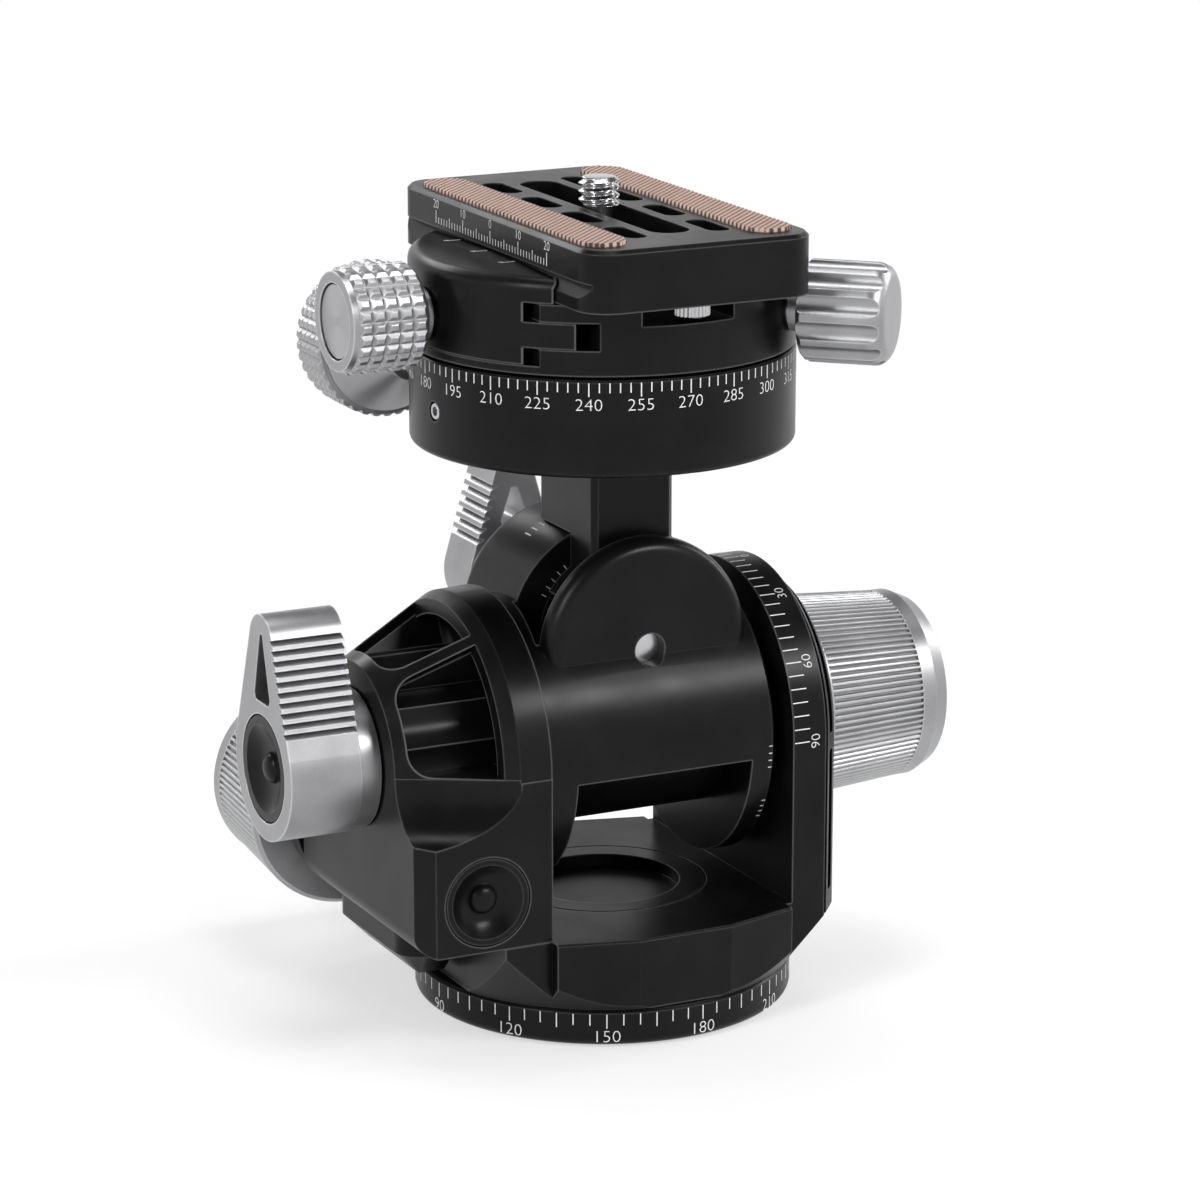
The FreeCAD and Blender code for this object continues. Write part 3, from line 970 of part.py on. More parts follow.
def clamp_body():
    """Round body with the fixed dovetail jaw, the plate's channel, stop slots and finger pockets."""
    made = body("clamp_body", CLAMP)
    drawing = sketch(made, "XZ_Plane")
    outline(drawing, crown("0"))
    spin(made, drawing)
    channel = sketch(made, "XZ_Plane", "pan_radius")
    flank = "%s+flank_height" % PLATE_IN_CLAMP
    tip = "%s+groove_height" % PLATE_IN_CLAMP
    outline(channel, [
        ("-pan_radius-1", "layer_height"), ("-split_fixed", "layer_height"), ("-split_fixed", "floor_height"),
        ("plate_half+gap", "floor_height"), ("plate_half+gap", flank), ("groove_tip+gap", tip),
        ("groove_tip+gap", tip + "+2"), ("-pan_radius-1", tip + "+2"),
    ])
    pocket(made, channel, "2*pan_radius", Reversed=False)
    finger = sketch(made, "XZ_Plane", "pan_radius")
    box(finger, "-split_fixed-1", "-finger_root", "finger_low", "finger_high")
    fingers = pocket(made, finger, "pan_radius-finger_half", Reversed=False)
    stop = sketch(made, "XZ_Plane", "pan_radius")
    box(stop, "-stop_slot_half", "stop_slot_half", "floor_height-stop_slot_depth", "floor_height+1")
    stops = pocket(made, stop, "pan_radius-stop_slot_end", Reversed=False)
    mirrored(made, [fingers, stops], "XZ_Plane")
    thread = sketch(made, "YZ_Plane", "-split_fixed")
    circle(thread, "0", "jaw_z", "jaw_screw+running")
    pocket(made, thread, "split_fixed+2", Reversed=True)
    guides = sketch(made, "YZ_Plane", "-split_fixed")
    circle(guides, "guide_y", "jaw_z", "guide_radius")
    circle(guides, "-guide_y", "jaw_z", "guide_radius")
    pocket(made, guides, "split_fixed-guide_root", Reversed=True)
    lock = sketch(made, "YZ_Plane", "0", FreeCAD.Rotation(VECTOR(0, 1, 0), value("lock_angle")))
    circle(lock, "0", "jaw_z-0.2", "lock_screw+running")
    lock.setExpression(".AttachmentOffset.Base.x", bound("lock_root*sin(lock_angle)"))
    lock.setExpression(".AttachmentOffset.Base.z", bound("lock_root*cos(lock_angle)"))
    pocket(made, lock, "pan_radius", Reversed=True)
    seat = sketch(made, "XY_Plane")
    circle(seat, "0", "0", "spindle_neck")
    pocket(made, seat, "layer_height+2", Reversed=True)


def moving_jaw():
    """Sliding jaw: its dovetail lip faces the fixed one and two fingers mesh with the body's."""
    made = body("moving_jaw", CLAMP)
    drawing = sketch(made, "XZ_Plane")
    outline(drawing, crown("layer_height+slack"))
    spin(made, drawing)
    parting = sketch(made, "XZ_Plane", "pan_radius")
    flank = "%s+flank_height" % PLATE_IN_CLAMP
    tip = "%s+groove_height" % PLATE_IN_CLAMP
    outline(parting, [
        ("-split_moving", "0"), ("pan_radius+1", "0"), ("pan_radius+1", tip + "+2"),
        ("-groove_tip-gap", tip + "+2"), ("-groove_tip-gap", tip), ("-plate_half-gap", flank),
        ("-plate_half-gap", "floor_height+slack"), ("-split_moving", "floor_height+slack"),
        ("-split_moving", "finger_high-slack"), ("-finger_tip", "finger_high-slack"),
        ("-finger_tip", "finger_low+slack"), ("-split_moving", "finger_low+slack"),
    ])
    pocket(made, parting, "2*pan_radius", Reversed=False)
    middle = sketch(made, "XZ_Plane")
    box(middle, "-split_moving", "-finger_tip+1", "finger_low", "finger_high")
    pocket(made, middle, "2*finger_half+2*slack", Midplane=True)
    screw = sketch(made, "YZ_Plane", "-pan_radius")
    circle(screw, "0", "jaw_z", "jaw_screw+running")
    pocket(made, screw, "pan_radius", Reversed=True)
    guides = sketch(made, "YZ_Plane", "-guide_end-2*gap")
    circle(guides, "guide_y", "jaw_z", "guide_radius+running")
    circle(guides, "-guide_y", "jaw_z", "guide_radius+running")
    pocket(made, guides, "guide_end+2*gap-finger_tip", Reversed=True)


def clamp_inside():
    """Guide pins, jaw screw with its knob, and the panning lock."""
    turned_copies("guide_pins", tube("0", "guide_radius", "guide_root", "guide_end"),
                  [(("0", sign + "guide_y", CLAMP[2] + "+jaw_z"), ALONG_MINUS_X) for sign in ("", "-")])
    at = ("0", "0", CLAMP[2] + "+jaw_z")
    turned("jaw_screw", tube("0", "jaw_screw", "0", "jaw_knob_end-2.5"), at, ALONG_MINUS_X)
    start = "pan_radius+gap"
    body_low = "jaw_knob_start+jaw_knob_cone+0.3"
    turned("jaw_knob", [
        ("jaw_screw", start), ("jaw_stem", start), ("jaw_stem", "jaw_knob_start"),
        ("jaw_knob_radius-0.9", "jaw_knob_start+jaw_knob_cone")]
        + knurl_profile("jaw_knob_radius", body_low, "jaw_knob_end-1") + [
        ("jaw_knob_radius-0.6", "jaw_knob_end"), ("jaw_disc+gap", "jaw_knob_end"),
        ("jaw_disc+gap", "jaw_knob_end-jaw_disc_seat"), ("jaw_screw", "jaw_knob_end-jaw_disc_seat"),
    ], at, ALONG_MINUS_X)
    cross_knurl("jaw_knob_radius", "jaw_knob_start+jaw_knob_cone", "jaw_knob_end", "knurl_rows")
    turned("jaw_knob_disc", [
        ("0", "jaw_knob_end-jaw_disc_seat"), ("jaw_disc", "jaw_knob_end-jaw_disc_seat"),
        ("jaw_disc", "jaw_knob_end-gap"), ("0.8", "jaw_knob_end-gap"), ("0", "jaw_knob_end-2*gap"),
    ], at, ALONG_MINUS_X)
    angle = math.radians(value("lock_angle"))
    turn = FreeCAD.Rotation(VECTOR(0, 0, 1), VECTOR(math.cos(angle), math.sin(angle), 0))
    at = ("0", "0", CLAMP[2] + "+jaw_z-0.2")
    turned("pan_lock_screw", tube("0", "lock_screw", "lock_root+gap", "lock_end-3"), at, turn)
    turned("pan_lock_knob", [
        ("lock_screw", start), ("lock_stem", start), ("lock_stem", "lock_start-0.8"),
        ("lock_radius-0.8", "lock_start"), ("lock_radius", "lock_start+0.8"),
        ("lock_radius", "lock_end-lock_round", "lock_round", "left"), ("lock_radius-lock_round", "lock_end"),
        ("0", "lock_end"), ("0", "lock_end-3"), ("lock_screw", "lock_end-3"),
    ], at, turn)
    made = NODES[-1]
    flute = sketch(made, "XY_Plane", "lock_start-1")
    circle(flute, "lock_radius+flute_depth", "0", "2*flute_depth")
    pattern(made, [pocket(made, flute, "lock_end-lock_start+2", Reversed=True)], "lock_flutes", "360")


# quick-release plate
PLATE = ("0", "0", CLAMP[2] + "+floor_height+plate_lift")


def long_hole(drawing, x, y, width, length):
    """Slot along Y with round ends."""
    left, right = "%s-%s/2" % (x, width), "%s+%s/2" % (x, width)
    low, high = "%s-(%s-%s)/2" % (y, length, width), "%s+(%s-%s)/2" % (y, length, width)
    bend = width + "/2*1.0001"
    outline(drawing, [(left, low, bend, "left"), (right, low), (right, high, bend, "left"), (left, high)])


def plate():
    """Dovetail plate: V groove along both sides, pad seats, a long screw slot and small slots."""
    made = body("plate", PLATE)
    section = sketch(made, "XZ_Plane")
    right = [("plate_half", "0"), ("plate_half", "flank_height"), ("groove_tip", "groove_height"),
             ("groove_tip", "plate_height-slab_height-slab_lean"), ("plate_half", "plate_height-slab_height"),
             ("plate_half", "plate_height")]
    outline(section, right + [("-" + x, z) for x, z in reversed(right)])
    pad(made, section, "2*plate_half_length", Midplane=True)
    doc.recompute()
    trim = sketch(made, "XY_Plane")
    box(trim, "-plate_half-5", "plate_half+5", "-plate_half_length-5", "plate_half_length+5")
    x, y, bend = "plate_half", "plate_half_length", "plate_corner"
    short, narrow = "(%s-%s)" % (x, bend), "(%s-%s)" % (y, bend)
    outline(trim, [
        ("-" + short, "-" + y), (short, "-" + y, bend, "left"), (x, "-" + narrow), (x, narrow, bend, "left"),
        (short, y), ("-" + short, y, bend, "left"), ("-" + x, narrow), ("-" + x, "-" + narrow, bend, "left"),
    ])
    pocket(made, trim, "plate_height", Reversed=True)
    softened(made, "Chamfer", "plate_chamfer", lambda edge: near(edge.BoundBox.ZMin, "plate_height"))
    seats = sketch(made, "XY_Plane", "plate_height-pad_sunk")
    for sign in ("", "-"):
        long_hole(seats, sign + "(pad_inner+pad_outer)/2", "0", "(pad_outer-pad_inner)", "2*pad_half")
    pocket(made, seats, "pad_sunk+1", Reversed=True)
    slots = sketch(made, "XY_Plane")
    for sign in ("", "-"):
        for step in (-1.5, -0.5, 0.5, 1.5):
            long_hole(slots, sign + "slot_x", "%s*slot_pitch" % step, "slot_width", "slot_length")
    pocket(made, slots, "plate_height", Reversed=True)
    middle = sketch(made, "XY_Plane")
    long_hole(middle, "0", "0", "screw_slot_width", "2*screw_slot_half")
    pocket(made, middle, "plate_height", Reversed=True)
    seat = sketch(made, "XY_Plane")
    box(seat, "-screw_seat_width/2", "screw_seat_width/2", "-screw_slot_half-1", "screw_slot_half+1")
    pocket(made, seat, "screw_seat_depth", Reversed=True)
    studs = sketch(made, "XY_Plane")
    circle(studs, "stop_x", "stop_y", "stop_stud")
    circle(studs, "stop_x", "-stop_y", "stop_stud")
    pocket(made, studs, "plate_height-2", Reversed=True)


def plate_pieces():
    """Rubber pads, camera screw on its sliding washer, and the two stop screws under the plate."""
    made = doc.addObject("Part::Compound", "plate_pads")
    pads = []
    for number, sign in enumerate(("", "-"), start=1):
        drawing = doc.addObject("Sketcher::SketchObject", "pad_profile_%d" % number)
        long_hole(drawing, sign + "(pad_inner+pad_outer)/2", "0", "(pad_outer-pad_inner-slack)",
                  "(2*pad_half-slack)")
        one = doc.addObject("Part::Extrusion", "pad_%d" % number)
        one.Base = drawing
        one.Dir = VECTOR(0, 0, 1)
        one.Solid = True
        one.setExpression("LengthFwd", bound("pad_sunk+pad_height"))
        place(one, ("0", "0", PLATE[2] + "+plate_height-pad_sunk"))
        pads.append(one)
    made.Links = pads
    NODES.append(made)
    seat = PLATE[2] + "+screw_seat_depth"
    washer = body("screw_washer", ("0", "camera_screw_y", seat))
    square = sketch(washer, "XY_Plane", "-washer_height-slack")
    box(square, "-screw_seat_width/2+slack", "screw_seat_width/2-slack", "-washer_radius", "washer_radius")
    pad(washer, square, "washer_height")
    doc.recompute()
    hole = sketch(washer, "XY_Plane", "-washer_height-slack")
    circle(hole, "0", "0", "camera_neck+running")
    pocket(washer, hole, "washer_height", Reversed=True)
    low, above = "-washer_height-2*slack", "plate_height-screw_seat_depth"
    turned("camera_screw", [
        ("0", low + "-1"), ("0.9", low + "-1"), ("0.9", low + "-2"), ("screw_flange", low + "-2"),
        ("screw_flange", low),
        ("camera_neck", low), ("camera_neck", above + "+2*slack"), ("camera_screw", above + "+2*slack"),
        ("camera_screw", above + "+camera_screw_rise-screw_point"),
        ("camera_screw-screw_point", above + "+camera_screw_rise"), ("0", above + "+camera_screw_rise"),
    ], ("0", "camera_screw_y", seat))
    turned_copies("stop_screws", [
        ("0", "-stop_head-slack"), ("stop_radius-0.3", "-stop_head-slack"), ("stop_radius", "-stop_head+0.2"),
        ("stop_radius", "-slack-0.3"), ("stop_radius-0.3", "-slack"), ("stop_stud", "-slack"),
        ("stop_stud", "3"), ("0", "3"),
    ], [(("stop_x", sign + "stop_y", PLATE[2]), ALONG_Z) for sign in ("", "-")])


STEPS = (base_disc, base_inside, foot_frame, foot_cap, side_cover, left_housing, tilt_drive,
         barrel, barrel_inside, levers, neck, neck_inside, pan_ring, pan_inside,
         clamp_body, moving_jaw, clamp_inside, plate, plate_pieces)


for build in STEPS:
    build()
    doc.recompute()
    for item in doc.Objects:
        if "Invalid" in item.State or "Error" in item.State:
            raise RuntimeError("%s: %s failed" % (build.__name__, item.Label))

os.makedirs("parts", exist_ok=True)
for node in NODES:
    shape = node.Shape
    if shape.isNull() or not shape.isValid():
        raise RuntimeError("%s has no valid shape" % node.Label)
    shape.exportStep("parts/%s.step" % node.Label)
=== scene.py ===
"""Looks of a geared tripod head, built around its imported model.  Metres, +Z up.

The pieces come in the order in which the head is put together, from the base disc up to the plate.
"""

import math

import bpy
from mathutils import Matrix, Vector


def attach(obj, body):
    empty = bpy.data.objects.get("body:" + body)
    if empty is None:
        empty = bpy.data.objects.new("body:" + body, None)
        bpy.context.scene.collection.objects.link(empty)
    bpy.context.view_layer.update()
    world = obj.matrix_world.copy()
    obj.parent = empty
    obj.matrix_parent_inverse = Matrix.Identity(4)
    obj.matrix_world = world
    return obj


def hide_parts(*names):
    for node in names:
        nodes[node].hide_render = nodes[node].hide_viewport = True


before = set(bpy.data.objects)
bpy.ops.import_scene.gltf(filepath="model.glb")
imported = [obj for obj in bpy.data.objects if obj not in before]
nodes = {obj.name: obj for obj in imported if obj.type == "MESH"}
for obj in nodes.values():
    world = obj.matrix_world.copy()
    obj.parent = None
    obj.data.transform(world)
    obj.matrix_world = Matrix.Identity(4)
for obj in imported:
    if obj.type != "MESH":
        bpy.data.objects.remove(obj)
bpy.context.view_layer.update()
MM = 0.001


# ---------------------------------------------------------------- studio
# A product table: white floor that runs out of sight, soft boxes above and at both sides.
# The camera looks slightly down from the front left through a long lens.
def linear(code):
    """sRGB hex code to the linear colour a shader takes."""
    parts = [int(code[at:at + 2], 16) / 255 for at in (1, 3, 5)]
    return [part / 12.92 if part <= 0.04045 else ((part + 0.055) / 1.055) ** 2.4 for part in parts] + [1.0]


def add_node(tree, kind, settings=None, links=None):
    """A shader node with its properties or sockets set and its inputs linked."""
    node = tree.nodes.new(kind)
    for key, setting in (settings or {}).items():
        if isinstance(key, str) and hasattr(node, key):
            setattr(node, key, setting)
        else:
            node.inputs[key].default_value = setting
    for key, source in (links or {}).items():
        tree.links.new(source, node.inputs[key])
    return node


def blend(tree, share, first, second):
    """Colour between two, each a hex code or another node's colour."""
    node = tree.nodes.new("ShaderNodeMix")
    node.data_type = "RGBA"
    tree.links.new(share, node.inputs[0])
    for socket, colour in ((node.inputs[6], first), (node.inputs[7], second)):
        if isinstance(colour, str):
            socket.default_value = linear(colour)
        else:
            tree.links.new(colour, socket)
    return node.outputs[2]


def new_material(name):
    """Empty material and its node tree, ready for a shader."""
    material = bpy.data.materials.new(name)
    material.use_nodes = True
    material.node_tree.nodes.clear()
    return material, material.node_tree


def new_mesh(name, points, faces, material, smooth=False):
    """Mesh object from points in metres."""
    mesh = bpy.data.meshes.new(name)
    mesh.from_pydata([tuple(point) for point in points], [], faces)
    mesh.validate()
    mesh.polygons.foreach_set("use_smooth", [smooth] * len(mesh.polygons))
    mesh.materials.append(material)
    made = bpy.data.objects.new(name, mesh)
    bpy.context.scene.collection.objects.link(made)
    return made


EYE = Vector((-0.29764, -0.60541, 0.24465))
YAW, PITCH = math.radians(26.15), math.radians(15.04)
SENSOR_MM = 36.0
FOCAL_PIXELS, FRAME_PIXELS = 4445.28, 1200

lens = bpy.data.cameras.new("camera")
lens.sensor_width = SENSOR_MM
lens.lens = FOCAL_PIXELS / FRAME_PIXELS * SENSOR_MM
lens.clip_start, lens.clip_end = 0.01, 20.0
camera = bpy.data.objects.new("camera", lens)
bpy.context.scene.collection.objects.link(camera)
ahead = Vector((math.sin(YAW) * math.cos(PITCH), math.cos(YAW) * math.cos(PITCH), -math.sin(PITCH)))
camera.matrix_world = Matrix.Translation(EYE) @ ahead.to_track_quat("-Z", "Y").to_matrix().to_4x4()
bpy.context.scene.camera = camera
bpy.context.scene.view_settings.view_transform = "Standard"

# Near the object the floor is plain white paint and keeps the shadow; further out it fades into paper white.
FLOOR_RADIUS, FLOOR_SIDES, FLOOR_Z = 3.0, 48, -0.0002
PAINT_TO, PAPER_FROM, PAPER_NEAR = 0.05, 0.22, 0.55
floor_paint, tree = new_material("matt_white_paint")
spot = add_node(tree, "ShaderNodeNewGeometry")
reach = add_node(tree, "ShaderNodeVectorMath", {"operation": "LENGTH"}, {0: spot.outputs["Position"]})
fade = add_node(tree, "ShaderNodeMapRange",
                {"interpolation_type": "SMOOTHSTEP", "From Min": PAINT_TO, "From Max": PAPER_FROM,
                 "To Min": PAPER_NEAR, "To Max": 1.0}, {"Value": reach.outputs["Value"]})
path = add_node(tree, "ShaderNodeLightPath")
either = add_node(tree, "ShaderNodeMath", {"operation": "MAXIMUM"},
                  {0: path.outputs["Is Camera Ray"], 1: path.outputs["Is Glossy Ray"]})
seen = add_node(tree, "ShaderNodeMath", {"operation": "MAXIMUM"},
                {0: either.outputs[0], 1: path.outputs["Is Transmission Ray"]})
share = add_node(tree, "ShaderNodeMath", {"operation": "MULTIPLY"}, {0: seen.outputs[0], 1: fade.outputs[0]})
surface = add_node(tree, "ShaderNodeBsdfPrincipled", {"Base Color": linear("#f2f2f2"), "Roughness": 0.7})
paper = add_node(tree, "ShaderNodeEmission", {"Color": linear("#ffffff"), "Strength": 1.0})
glow = add_node(tree, "ShaderNodeMixShader", None,
                {0: share.outputs[0], 1: surface.outputs[0], 2: paper.outputs[0]})
add_node(tree, "ShaderNodeOutputMaterial", None, {"Surface": glow.outputs[0]})
floor_points = []
for side in range(FLOOR_SIDES):
    angle = 2 * math.pi * side / FLOOR_SIDES
    floor_points.append((FLOOR_RADIUS * math.cos(angle), FLOOR_RADIUS * math.sin(angle), FLOOR_Z))
floor = new_mesh("floor", floor_points, [tuple(range(FLOOR_SIDES))], floor_paint)

# White walls round the table, dark above them: black metal shows its highlights, grey metal its facets.
WALL_TOP, DARK_FROM, DARK_LEVEL = 0.22, 0.55, 0.10
world = bpy.data.worlds.new("studio")
bpy.context.scene.world = world
world.use_nodes = True
tree = world.node_tree
tree.nodes.clear()
way = add_node(tree, "ShaderNodeTexCoord")
split = add_node(tree, "ShaderNodeSeparateXYZ", None, {0: way.outputs["Generated"]})
wall = add_node(tree, "ShaderNodeMapRange",
                {"interpolation_type": "SMOOTHSTEP", "From Min": WALL_TOP, "From Max": DARK_FROM,
                 "To Min": 1.0, "To Max": DARK_LEVEL}, {"Value": split.outputs["Z"]})
room = add_node(tree, "ShaderNodeBackground", {"Color": linear("#ffffff")}, {"Strength": wall.outputs[0]})
add_node(tree, "ShaderNodeOutputWorld", None, {"Surface": room.outputs[0]})

AIM = Vector((0.0, 0.0, 0.065))
for name, place, size, watts in (
        ("soft_box_front", (0.43, -0.70, 0.64), (0.42, 0.17), 5.5),
        ("soft_box_top", (0.05, 0.05, 0.85), (0.45, 0.30), 3.2),
        ("soft_box_left", (-0.80, -0.30, 0.60), (0.25, 0.35), 4.0),
        ("soft_box_right", (0.80, 0.10, 0.40), (0.14, 0.50), 2.0),
        ("soft_box_back", (-0.20, 0.80, 0.60), (0.60, 0.20), 3.0)):
    lamp = bpy.data.lights.new(name, "AREA")
    lamp.shape = "RECTANGLE"
    lamp.size, lamp.size_y = size
    lamp.energy = watts
    holder = bpy.data.objects.new(name, lamp)
    bpy.context.scene.collection.objects.link(holder)
    turned = (AIM - Vector(place)).to_track_quat("-Z", "Y").to_matrix().to_4x4()
    holder.matrix_world = Matrix.Translation(Vector(place)) @ turned


# ---------------------------------------------------------------- base disc and its inner pieces
# Turned aluminium disc, bead blasted and anodised black; its rim carries a laser-engraved degree scale.
# Screws, spindle and thread bush are turned steel; the glide ring is bronze painted near black, as the shade in
# its gap.
def blasted_normal(tree, edge_mm, grain_mm, depth_mm):
    """Normal with softly broken edges and a fine blasted grain; the grain's place and height come along."""
    edge = add_node(tree, "ShaderNodeBevel", {"Radius": edge_mm * MM, "samples": 4})
    spot = add_node(tree, "ShaderNodeTexCoord")
    grain = add_node(tree, "ShaderNodeTexNoise", {"Scale": 1 / (grain_mm * MM), "Detail": 2.0},
                     {"Vector": spot.outputs["Object"]})
    bump = add_node(tree, "ShaderNodeBump", {"Strength": 1.0, "Distance": depth_mm * MM},
                    {"Height": grain.outputs["Fac"], "Normal": edge.outputs["Normal"]})
    return bump, spot, grain


CLOUD_MM, CLOUD_DETAIL = 9.0, 3.0       # slow change of tone across a blasted face
EDGE_REACH_MM = 0.3                     # width of the strip along a convex edge that is painted light as a highlight


def anodised(name, dark, light, metallic, rough_low, rough_high, edge_mm=0.12, grain_mm=0.5, depth_mm=0.002,
             edge_highlight="#000000", edge_highlight_share=0.0, gloss=0.5):
    """Metal with an even matt grain, faint cloudiness and, where an edge share is set, a painted highlight along
    its convex edges.
    """
    material, tree = new_material(name)
    bump, spot, grain = blasted_normal(tree, edge_mm, grain_mm, depth_mm)
    cloud = add_node(tree, "ShaderNodeTexNoise", {"Scale": 1 / (CLOUD_MM * MM), "Detail": CLOUD_DETAIL},
                     {"Vector": spot.outputs["Object"]})
    mixed = add_node(tree, "ShaderNodeMath", {"operation": "MULTIPLY_ADD", 1: 0.35},
                     {0: grain.outputs["Fac"], 2: cloud.outputs["Fac"]})
    tone = add_node(tree, "ShaderNodeMapRange", {"From Min": 0.45, "From Max": 0.9},
                    {"Value": mixed.outputs[0]})
    base = blend(tree, tone.outputs[0], dark, light)
    inside = add_node(tree, "ShaderNodeAmbientOcclusion",
                      {"inside": True, "only_local": True, "samples": 4, "Distance": EDGE_REACH_MM * MM})
    # Convex edges are painted light here, a painted highlight standing in for the light they catch.
    painted_edge_highlight = add_node(tree, "ShaderNodeMapRange",
                    {"From Min": 0.92, "From Max": 0.60, "To Min": 0.0, "To Max": edge_highlight_share},
                    {"Value": inside.outputs["AO"]})
    rough = add_node(tree, "ShaderNodeMapRange",
                     {"From Min": 0.3, "From Max": 0.7, "To Min": rough_low, "To Max": rough_high},
                     {"Value": cloud.outputs["Fac"]})
    shader = add_node(tree, "ShaderNodeBsdfPrincipled", {"Metallic": metallic, "Specular IOR Level": gloss},
                      {"Base Color": blend(tree, painted_edge_highlight.outputs[0], base, edge_highlight),
                       "Roughness": rough.outputs[0], "Normal": bump.outputs[0]})
    add_node(tree, "ShaderNodeOutputMaterial", None, {"Surface": shader.outputs[0]})
    return material


# Black anodising is a dyed oxide skin: deep black and satin, its convex edges painted with a fine grey highlight
# line.
black_anodised = anodised("black_anodised_aluminium", "#070708", "#101011", 0.0, 0.28, 0.36, edge_mm=0.18,
                          grain_mm=0.35, depth_mm=0.004, edge_highlight="#7e7e80", edge_highlight_share=0.42, gloss=0.16)
# Turned steel and brass are bright with a fine, nearly smooth grain; the bronze glide pieces are painted dark
# and dull, as the shade in the gaps they sit in.
turned_steel = anodised("turned_steel", "#b4b4b6", "#c9c9cb", 1.0, 0.18, 0.28)
turned_brass = anodised("turned_brass", "#a98642", "#b8954f", 1.0, 0.22, 0.32)
shade_dark_bronze = anodised("bronze_painted_gap_shade", "#17120b", "#241c10", 0.6, 0.35, 0.45)


def dress(material, *names):
    """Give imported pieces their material."""
    for name in names:
        mesh = nodes[name].data
        mesh.materials.clear()
        mesh.materials.append(material)


dress(black_anodised, "base_disc")
dress(turned_steel, "thread_bush", "base_spindle", "spindle_nut", "base_screws")
dress(shade_dark_bronze, "glide_ring")

# Laser engraving bleaches the dye: dull off-white lines, a little uneven from pulse to pulse.
PULSE_MM = 0.3
engraved_white, tree = new_material("laser_engraved_white")
spot = add_node(tree, "ShaderNodeTexCoord")
speck = add_node(tree, "ShaderNodeTexNoise", {"Scale": 1 / (PULSE_MM * MM)}, {"Vector": spot.outputs["Object"]})
tone = add_node(tree, "ShaderNodeMapRange", {"To Min": 0.55, "To Max": 0.75}, {"Value": speck.outputs["Fac"]})
shader = add_node(tree, "ShaderNodeBsdfPrincipled", {"Base Color": linear("#dededd")},
                  {"Roughness": tone.outputs[0]})
add_node(tree, "ShaderNodeOutputMaterial", None, {"Surface": shader.outputs[0]})

INK_MM = 0.03           # the strokes stand this far in and out of the surface
DIGIT_SHARE = 0.70      # height of a figure against the size of its letter
DIGIT_THIN = -0.020     # the engraver's cutter is finer than the letter's own stroke
DIGIT_WIDE = 1.08


def strokes(name, surface_at, marks, texts, body):
    """Engraved marks and numbers laid on a curved or flat surface.

    surface_at(across, up, out) gives the point for millimetres along the surface; marks are
    (across, low, high, width) lines; texts are (text, across, up, height) numbers.
    """
    points, faces = [], []
    for across, low, high, width in marks:
        first = len(points)
        for out in (-INK_MM, INK_MM):
            for side, level in ((-1, low), (1, low), (1, high), (-1, high)):
                points.append(surface_at(across + side * width / 2, level, out))
        faces += [tuple(first + corner for corner in face) for face in
                  ((4, 5, 6, 7), (0, 3, 2, 1), (0, 1, 5, 4), (1, 2, 6, 5), (2, 3, 7, 6), (3, 0, 4, 7))]
    for text, across, up, height in texts:
        curve = bpy.data.curves.new("figure", "FONT")
        curve.body = text
        curve.size = height / DIGIT_SHARE
        curve.offset = DIGIT_THIN * curve.size
        curve.align_x, curve.align_y = "CENTER", "CENTER"
        curve.extrude = INK_MM
        curve.resolution_u = 3
        holder = bpy.data.objects.new("figure", curve)
        mesh = bpy.data.meshes.new_from_object(holder)
        first = len(points)
        for vertex in mesh.vertices:
            points.append(surface_at(across + vertex.co.x * DIGIT_WIDE, up + vertex.co.y, vertex.co.z))
        faces += [tuple(first + corner for corner in face.vertices) for face in mesh.polygons]
        bpy.data.meshes.remove(mesh)
        bpy.data.objects.remove(holder)
        bpy.data.curves.remove(curve)
    made = new_mesh(name, points, faces, engraved_white)
    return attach(made, body)


def band_round_z(radius, low, start_degrees):
    """Surface of a rim about Z: across runs anticlockwise from a starting angle."""
    def surface_at(across, up, out):
        angle = math.radians(start_degrees) + across / radius
        reach = (radius + out) * MM
        return (reach * math.cos(angle), reach * math.sin(angle), (low + up) * MM)
    return surface_at


BASE_R, BASE_TOP, BASE_ZERO = 30.0, 5.3, 95.2
BASE_LONG, BASE_SHORT, BASE_LINE, BASE_FIGURE, BASE_FIGURE_DOWN = 2.3, 1.8, 0.16, 1.95, 3.7
marks, texts = [], []
for degrees in range(0, 360, 5):
    across = math.radians(degrees) * BASE_R
    marks.append((across, -BASE_LONG if degrees % 15 == 0 else -BASE_SHORT, 0.0, BASE_LINE))
    if degrees % 30 == 0:
        texts.append((str(degrees), across, -BASE_FIGURE_DOWN, BASE_FIGURE))
strokes("base_scale", band_round_z(BASE_R, BASE_TOP, BASE_ZERO), marks, texts, "base")


# ---------------------------------------------------------------- foot, side wall and open housing
# Machined from aluminium block, blasted and anodised black; the wall's rim carries the tilt scale.
# Bushes are turned brass pressed into their bores.
dress(black_anodised, "foot_frame", "foot_cap", "side_cover", "left_housing", "tilt_knob_collar")
dress(turned_brass, "tilt_worm_bushes", "tilt_bush_left", "tilt_bush_inner", "tilt_bush_right")

TILT_Z = 43.5

